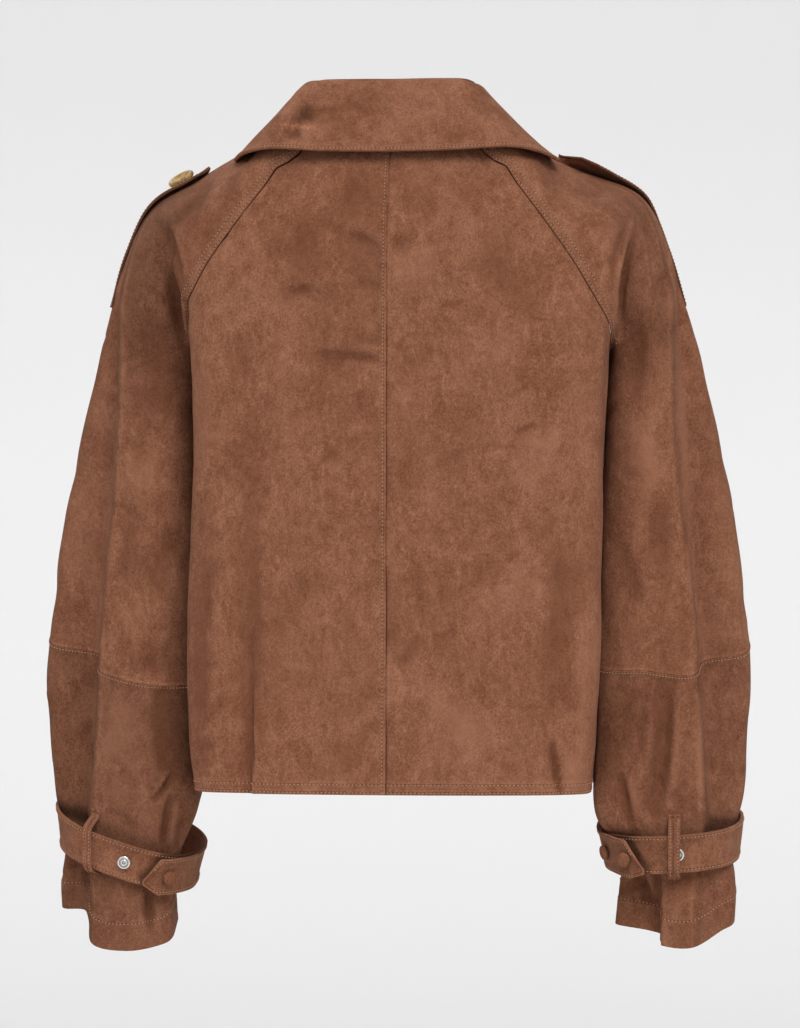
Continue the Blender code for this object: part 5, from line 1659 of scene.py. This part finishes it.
def epaulette_button(side, bed):
    """A button on the strap's form, square to it and leaned a little."""
    near = EPAULETTE_BUTTON_AT + np.array([-.02, 0, .02])
    form = epaulette_form(side, bed, near, np.array([-.08, 0, .08]) + EPAULETTE_BUTTON_ACROSS[side])
    normal = np.cross(form[2, 1] - form[0, 1], form[1, 2] - form[1, 0])
    normal = unit(normal * np.sign(normal[2]))
    lean = unit(normal + [0, EPAULETTE_BUTTON_LEAN[side], 0])
    horn_button(f"epaulette_button_{label(side)}", form[1, 1] + normal * EPAULETTE_BUTTON_LIFT[side], lean)


def strap_seat(side, degrees, lift=0.0, lower=0.0):
    """The place of a button on the strap's face, and the way out of it."""
    strap = STRAP[side]
    before, point, after = strap_point(strap, side, degrees + np.array([-3, 0, 3]), -lower, lift)
    below, above = strap_point(strap, side, degrees, np.array([-.004, .004]) - lower, lift)
    normal = np.cross(after - before, above - below)
    away = point[:2] - [side * strap.mid_x, strap.mid_y]
    normal = unit(normal * np.sign(np.dot(normal[:2], away)))
    return point + normal * BUTTON_SEAT, normal


def strap_fixings(side):
    """The covered buttons, with painted shade round their rims, and the press stud, with painted shade in
    its rings' grooves.
    """
    strap = STRAP[side]
    # Painted shade round each covered button's foot; the rest of its dome is a little lighter.
    painted_rim_shade = [.60 * math.exp(-(h / .45) ** 2) - .08 for _, h in DOME_PROFILE]
    for number, degrees in enumerate(strap.buttons, start=1):
        turned = (strap.tab + math.degrees(STRAP_TAB / strap.half_x) + 360 - degrees) / 360
        seat = strap_seat(side, degrees, tab_lift(side, turned), tab_drop(side, turned))
        turned_object(f"covered_button_{label(side)}_{number}", "suede", DOME_PROFILE,
                      (COVERED_R, COVERED_THICK), *seat, painted_rim_shade)
    # Painted shade in the stud's grooves.
    painted_darkness = [.46 if .50 < a < .70 else .55 if .12 < a < .25 else 0.0 for a, _ in STUD_PROFILE]
    turned_object(f"press_stud_{label(side)}", "steel", STUD_PROFILE, (STUD_R, STUD_THICK),
                  *strap_seat(side, strap.stud), painted_darkness)


# ---- the studio ---------------------------------------------------------------------
FLOOR_Z = -1.42  # a standing figure's nape is this high
STAGE_R = 7.0
STAGE_BEND = 2.2
STAGE_HEIGHT = 4.0
STAGE_STEPS = 96
CAMERA_DISTANCE = 3.2
CAMERA_AZIMUTH = 185.5
CAMERA_AIM = Vector((0, 0, -.319))
FRAME_ROWS = 1028
VIEW_HEIGHT = FRAME_ROWS * .00082  # of the frame, at the aim
SENSOR = 36.0
CAMERA_SHIFT = -.5 / FRAME_ROWS
LIGHTS = {  # azimuth, elevation, strength, width in degrees
    "light_key": (200, 44, 1.74, 34), "light_fill": (135, 22, .42, 60), "light_front": (20, 40, 1.0, 60)}
AIR_STRENGTH = .42


def linked(name, data):
    obj = bpy.data.objects.new(name, data)
    bpy.context.scene.collection.objects.link(obj)
    return obj


def direction(azimuth, elevation=0):
    """Azimuth 0 is the front of the jacket, 180 its back."""
    turn, rise = math.radians(azimuth), math.radians(elevation)
    return Vector((math.sin(turn) * math.cos(rise), -math.cos(turn) * math.cos(rise), math.sin(rise)))


def studio_bowl():
    """A floor that bends up into a wall all round: an arc profile turned about the middle."""
    bend = np.linspace(0, np.pi / 2, 14)
    r = np.concatenate([[.01, STAGE_R * .35], STAGE_R - STAGE_BEND + STAGE_BEND * np.sin(bend), [STAGE_R]])
    z = np.concatenate([[0, 0], STAGE_BEND * (1 - np.cos(bend)), [STAGE_HEIGHT]]) + FLOOR_Z
    points = r[:, None, None] * circle(STAGE_STEPS, *np.eye(3)[:2]) + z[:, None, None] * UPRIGHT
    faces = tube_faces(r.size, STAGE_STEPS)[:, ::-1].tolist()
    mesh = bpy.data.meshes.new("studio_bowl")
    mesh.from_pydata(points.reshape(-1, 3), [], faces + [list(range(STAGE_STEPS))])
    mesh.shade_smooth()
    mesh.materials.append(bpy.data.materials["studio_paint"])
    linked("studio_bowl", mesh)


def studio_lights():
    """Far, soft lamps, and a pale sky."""
    for name, (azimuth, elevation, strength, width) in LIGHTS.items():
        light = bpy.data.lights.new(name, "SUN")
        light.energy, light.angle = strength, math.radians(width)
        way = direction(azimuth, elevation)
        linked(name, light).rotation_euler = way.to_track_quat("Z", "Y").to_euler()
    world = bpy.data.worlds.new("studio_air")
    world.use_nodes = True
    air = world.node_tree.nodes["Background"].inputs
    air["Color"].default_value, air["Strength"].default_value = (1, 1, 1, 1), AIR_STRENGTH
    bpy.context.scene.world = world
    bpy.context.scene.view_settings.view_transform = "Standard"


def studio_camera():
    data = bpy.data.cameras.new("camera")
    data.sensor_fit, data.sensor_height = "VERTICAL", SENSOR
    data.lens = SENSOR * CAMERA_DISTANCE / VIEW_HEIGHT
    data.shift_x = CAMERA_SHIFT
    camera = linked("camera", data)
    camera.location = CAMERA_AIM + CAMERA_DISTANCE * direction(CAMERA_AZIMUTH)
    camera.rotation_euler = (CAMERA_AIM - camera.location).to_track_quat("-Z", "Y").to_euler()
    bpy.context.scene.camera = camera


# ---- operators ----------------------------------------------------------------------
class JACKET_OT_materials(bpy.types.Operator):
    """Make the suede, thread, horn, metal and studio paint"""
    bl_idname = "jacket.materials"
    bl_label = "Materials"

    def execute(self, context):
        colours = context.scene.jacket_colours
        suede_material(tuple(colours.suede))
        thread_material(tuple(colours.thread))
        horn_material(tuple(colours.horn))
        steel_material(tuple(colours.steel))
        wall_material(tuple(colours.paint))
        return {"FINISHED"}


class JACKET_OT_body(bpy.types.Operator):
    """Make the two back panels and the two fronts"""
    bl_idname = "jacket.body"
    bl_label = "Back and fronts"

    def execute(self, context):
        for side in (1, -1):
            back_panel(side)
            front_panel(side)
        return {"FINISHED"}


class JACKET_OT_sleeves(bpy.types.Operator):
    """Make the upper and lower part of both sleeves"""
    bl_idname = "jacket.sleeves"
    bl_label = "Sleeves"

    def execute(self, context):
        for side in (1, -1):
            upper_sleeve(side)
            lower_sleeve(side)
        return {"FINISHED"}


class JACKET_OT_collar(bpy.types.Operator):
    """Make the collar's stand and fall"""
    bl_idname = "jacket.collar"
    bl_label = "Collar"

    def execute(self, context):
        collar_stand()
        collar_fall()
        return {"FINISHED"}


class JACKET_OT_straps(bpy.types.Operator):
    """Make the cuff straps, their belt loops and the epaulettes with their buttons"""
    bl_idname = "jacket.straps"
    bl_label = "Straps and epaulettes"

    def execute(self, context):
        for side in (1, -1):
            cuff_strap(side)
            strap_loop(side)
            bed = epaulette_bed(side)
            epaulette(side, bed)
            epaulette_button(side, bed)
        return {"FINISHED"}


class JACKET_OT_fixings(bpy.types.Operator):
    """Make the front buttons, the covered buttons and the press studs"""
    bl_idname = "jacket.fixings"
    bl_label = "Buttons and studs"

    def execute(self, context):
        front_buttons()
        for side in (1, -1):
            strap_fixings(side)
        return {"FINISHED"}


class JACKET_OT_studio(bpy.types.Operator):
    """Make the floor, the lights and the camera"""
    bl_idname = "jacket.studio"
    bl_label = "Studio"

    def execute(self, context):
        studio_bowl()
        studio_lights()
        studio_camera()
        return {"FINISHED"}


class JACKET_PT_sidebar(bpy.types.Panel):
    """Lists the jacket's colours, sizes and pieces"""
    bl_idname = "JACKET_PT_sidebar"
    bl_label = "Suede Jacket"
    bl_space_type = "VIEW_3D"
    bl_region_type = "UI"
    bl_category = "Jacket"

    def draw(self, context):
        for settings in (context.scene.jacket_colours, context.scene.jacket_sizes):
            for name in settings.__annotations__:
                self.layout.prop(settings, name)
        for operator in OPERATORS:
            self.layout.operator(operator.bl_idname)


OPERATORS = (JACKET_OT_materials, JACKET_OT_body, JACKET_OT_sleeves, JACKET_OT_collar, JACKET_OT_straps,
             JACKET_OT_fixings, JACKET_OT_studio)
CLASSES = (JacketColours, JacketSizes, *OPERATORS, JACKET_PT_sidebar)


def register():
    for cls in CLASSES:
        bpy.utils.register_class(cls)
    bpy.types.Scene.jacket_colours = bpy.props.PointerProperty(type=JacketColours)
    bpy.types.Scene.jacket_sizes = bpy.props.PointerProperty(type=JacketSizes)


def unregister():
    del bpy.types.Scene.jacket_colours
    del bpy.types.Scene.jacket_sizes
    for cls in reversed(CLASSES):
        bpy.utils.unregister_class(cls)


def main():
    register()
    bpy.ops.jacket.materials()
    bpy.ops.jacket.body()
    bpy.ops.jacket.sleeves()
    bpy.ops.jacket.collar()
    bpy.ops.jacket.straps()
    bpy.ops.jacket.fixings()
    bpy.ops.jacket.studio()


if __name__ == "__main__":
    main()
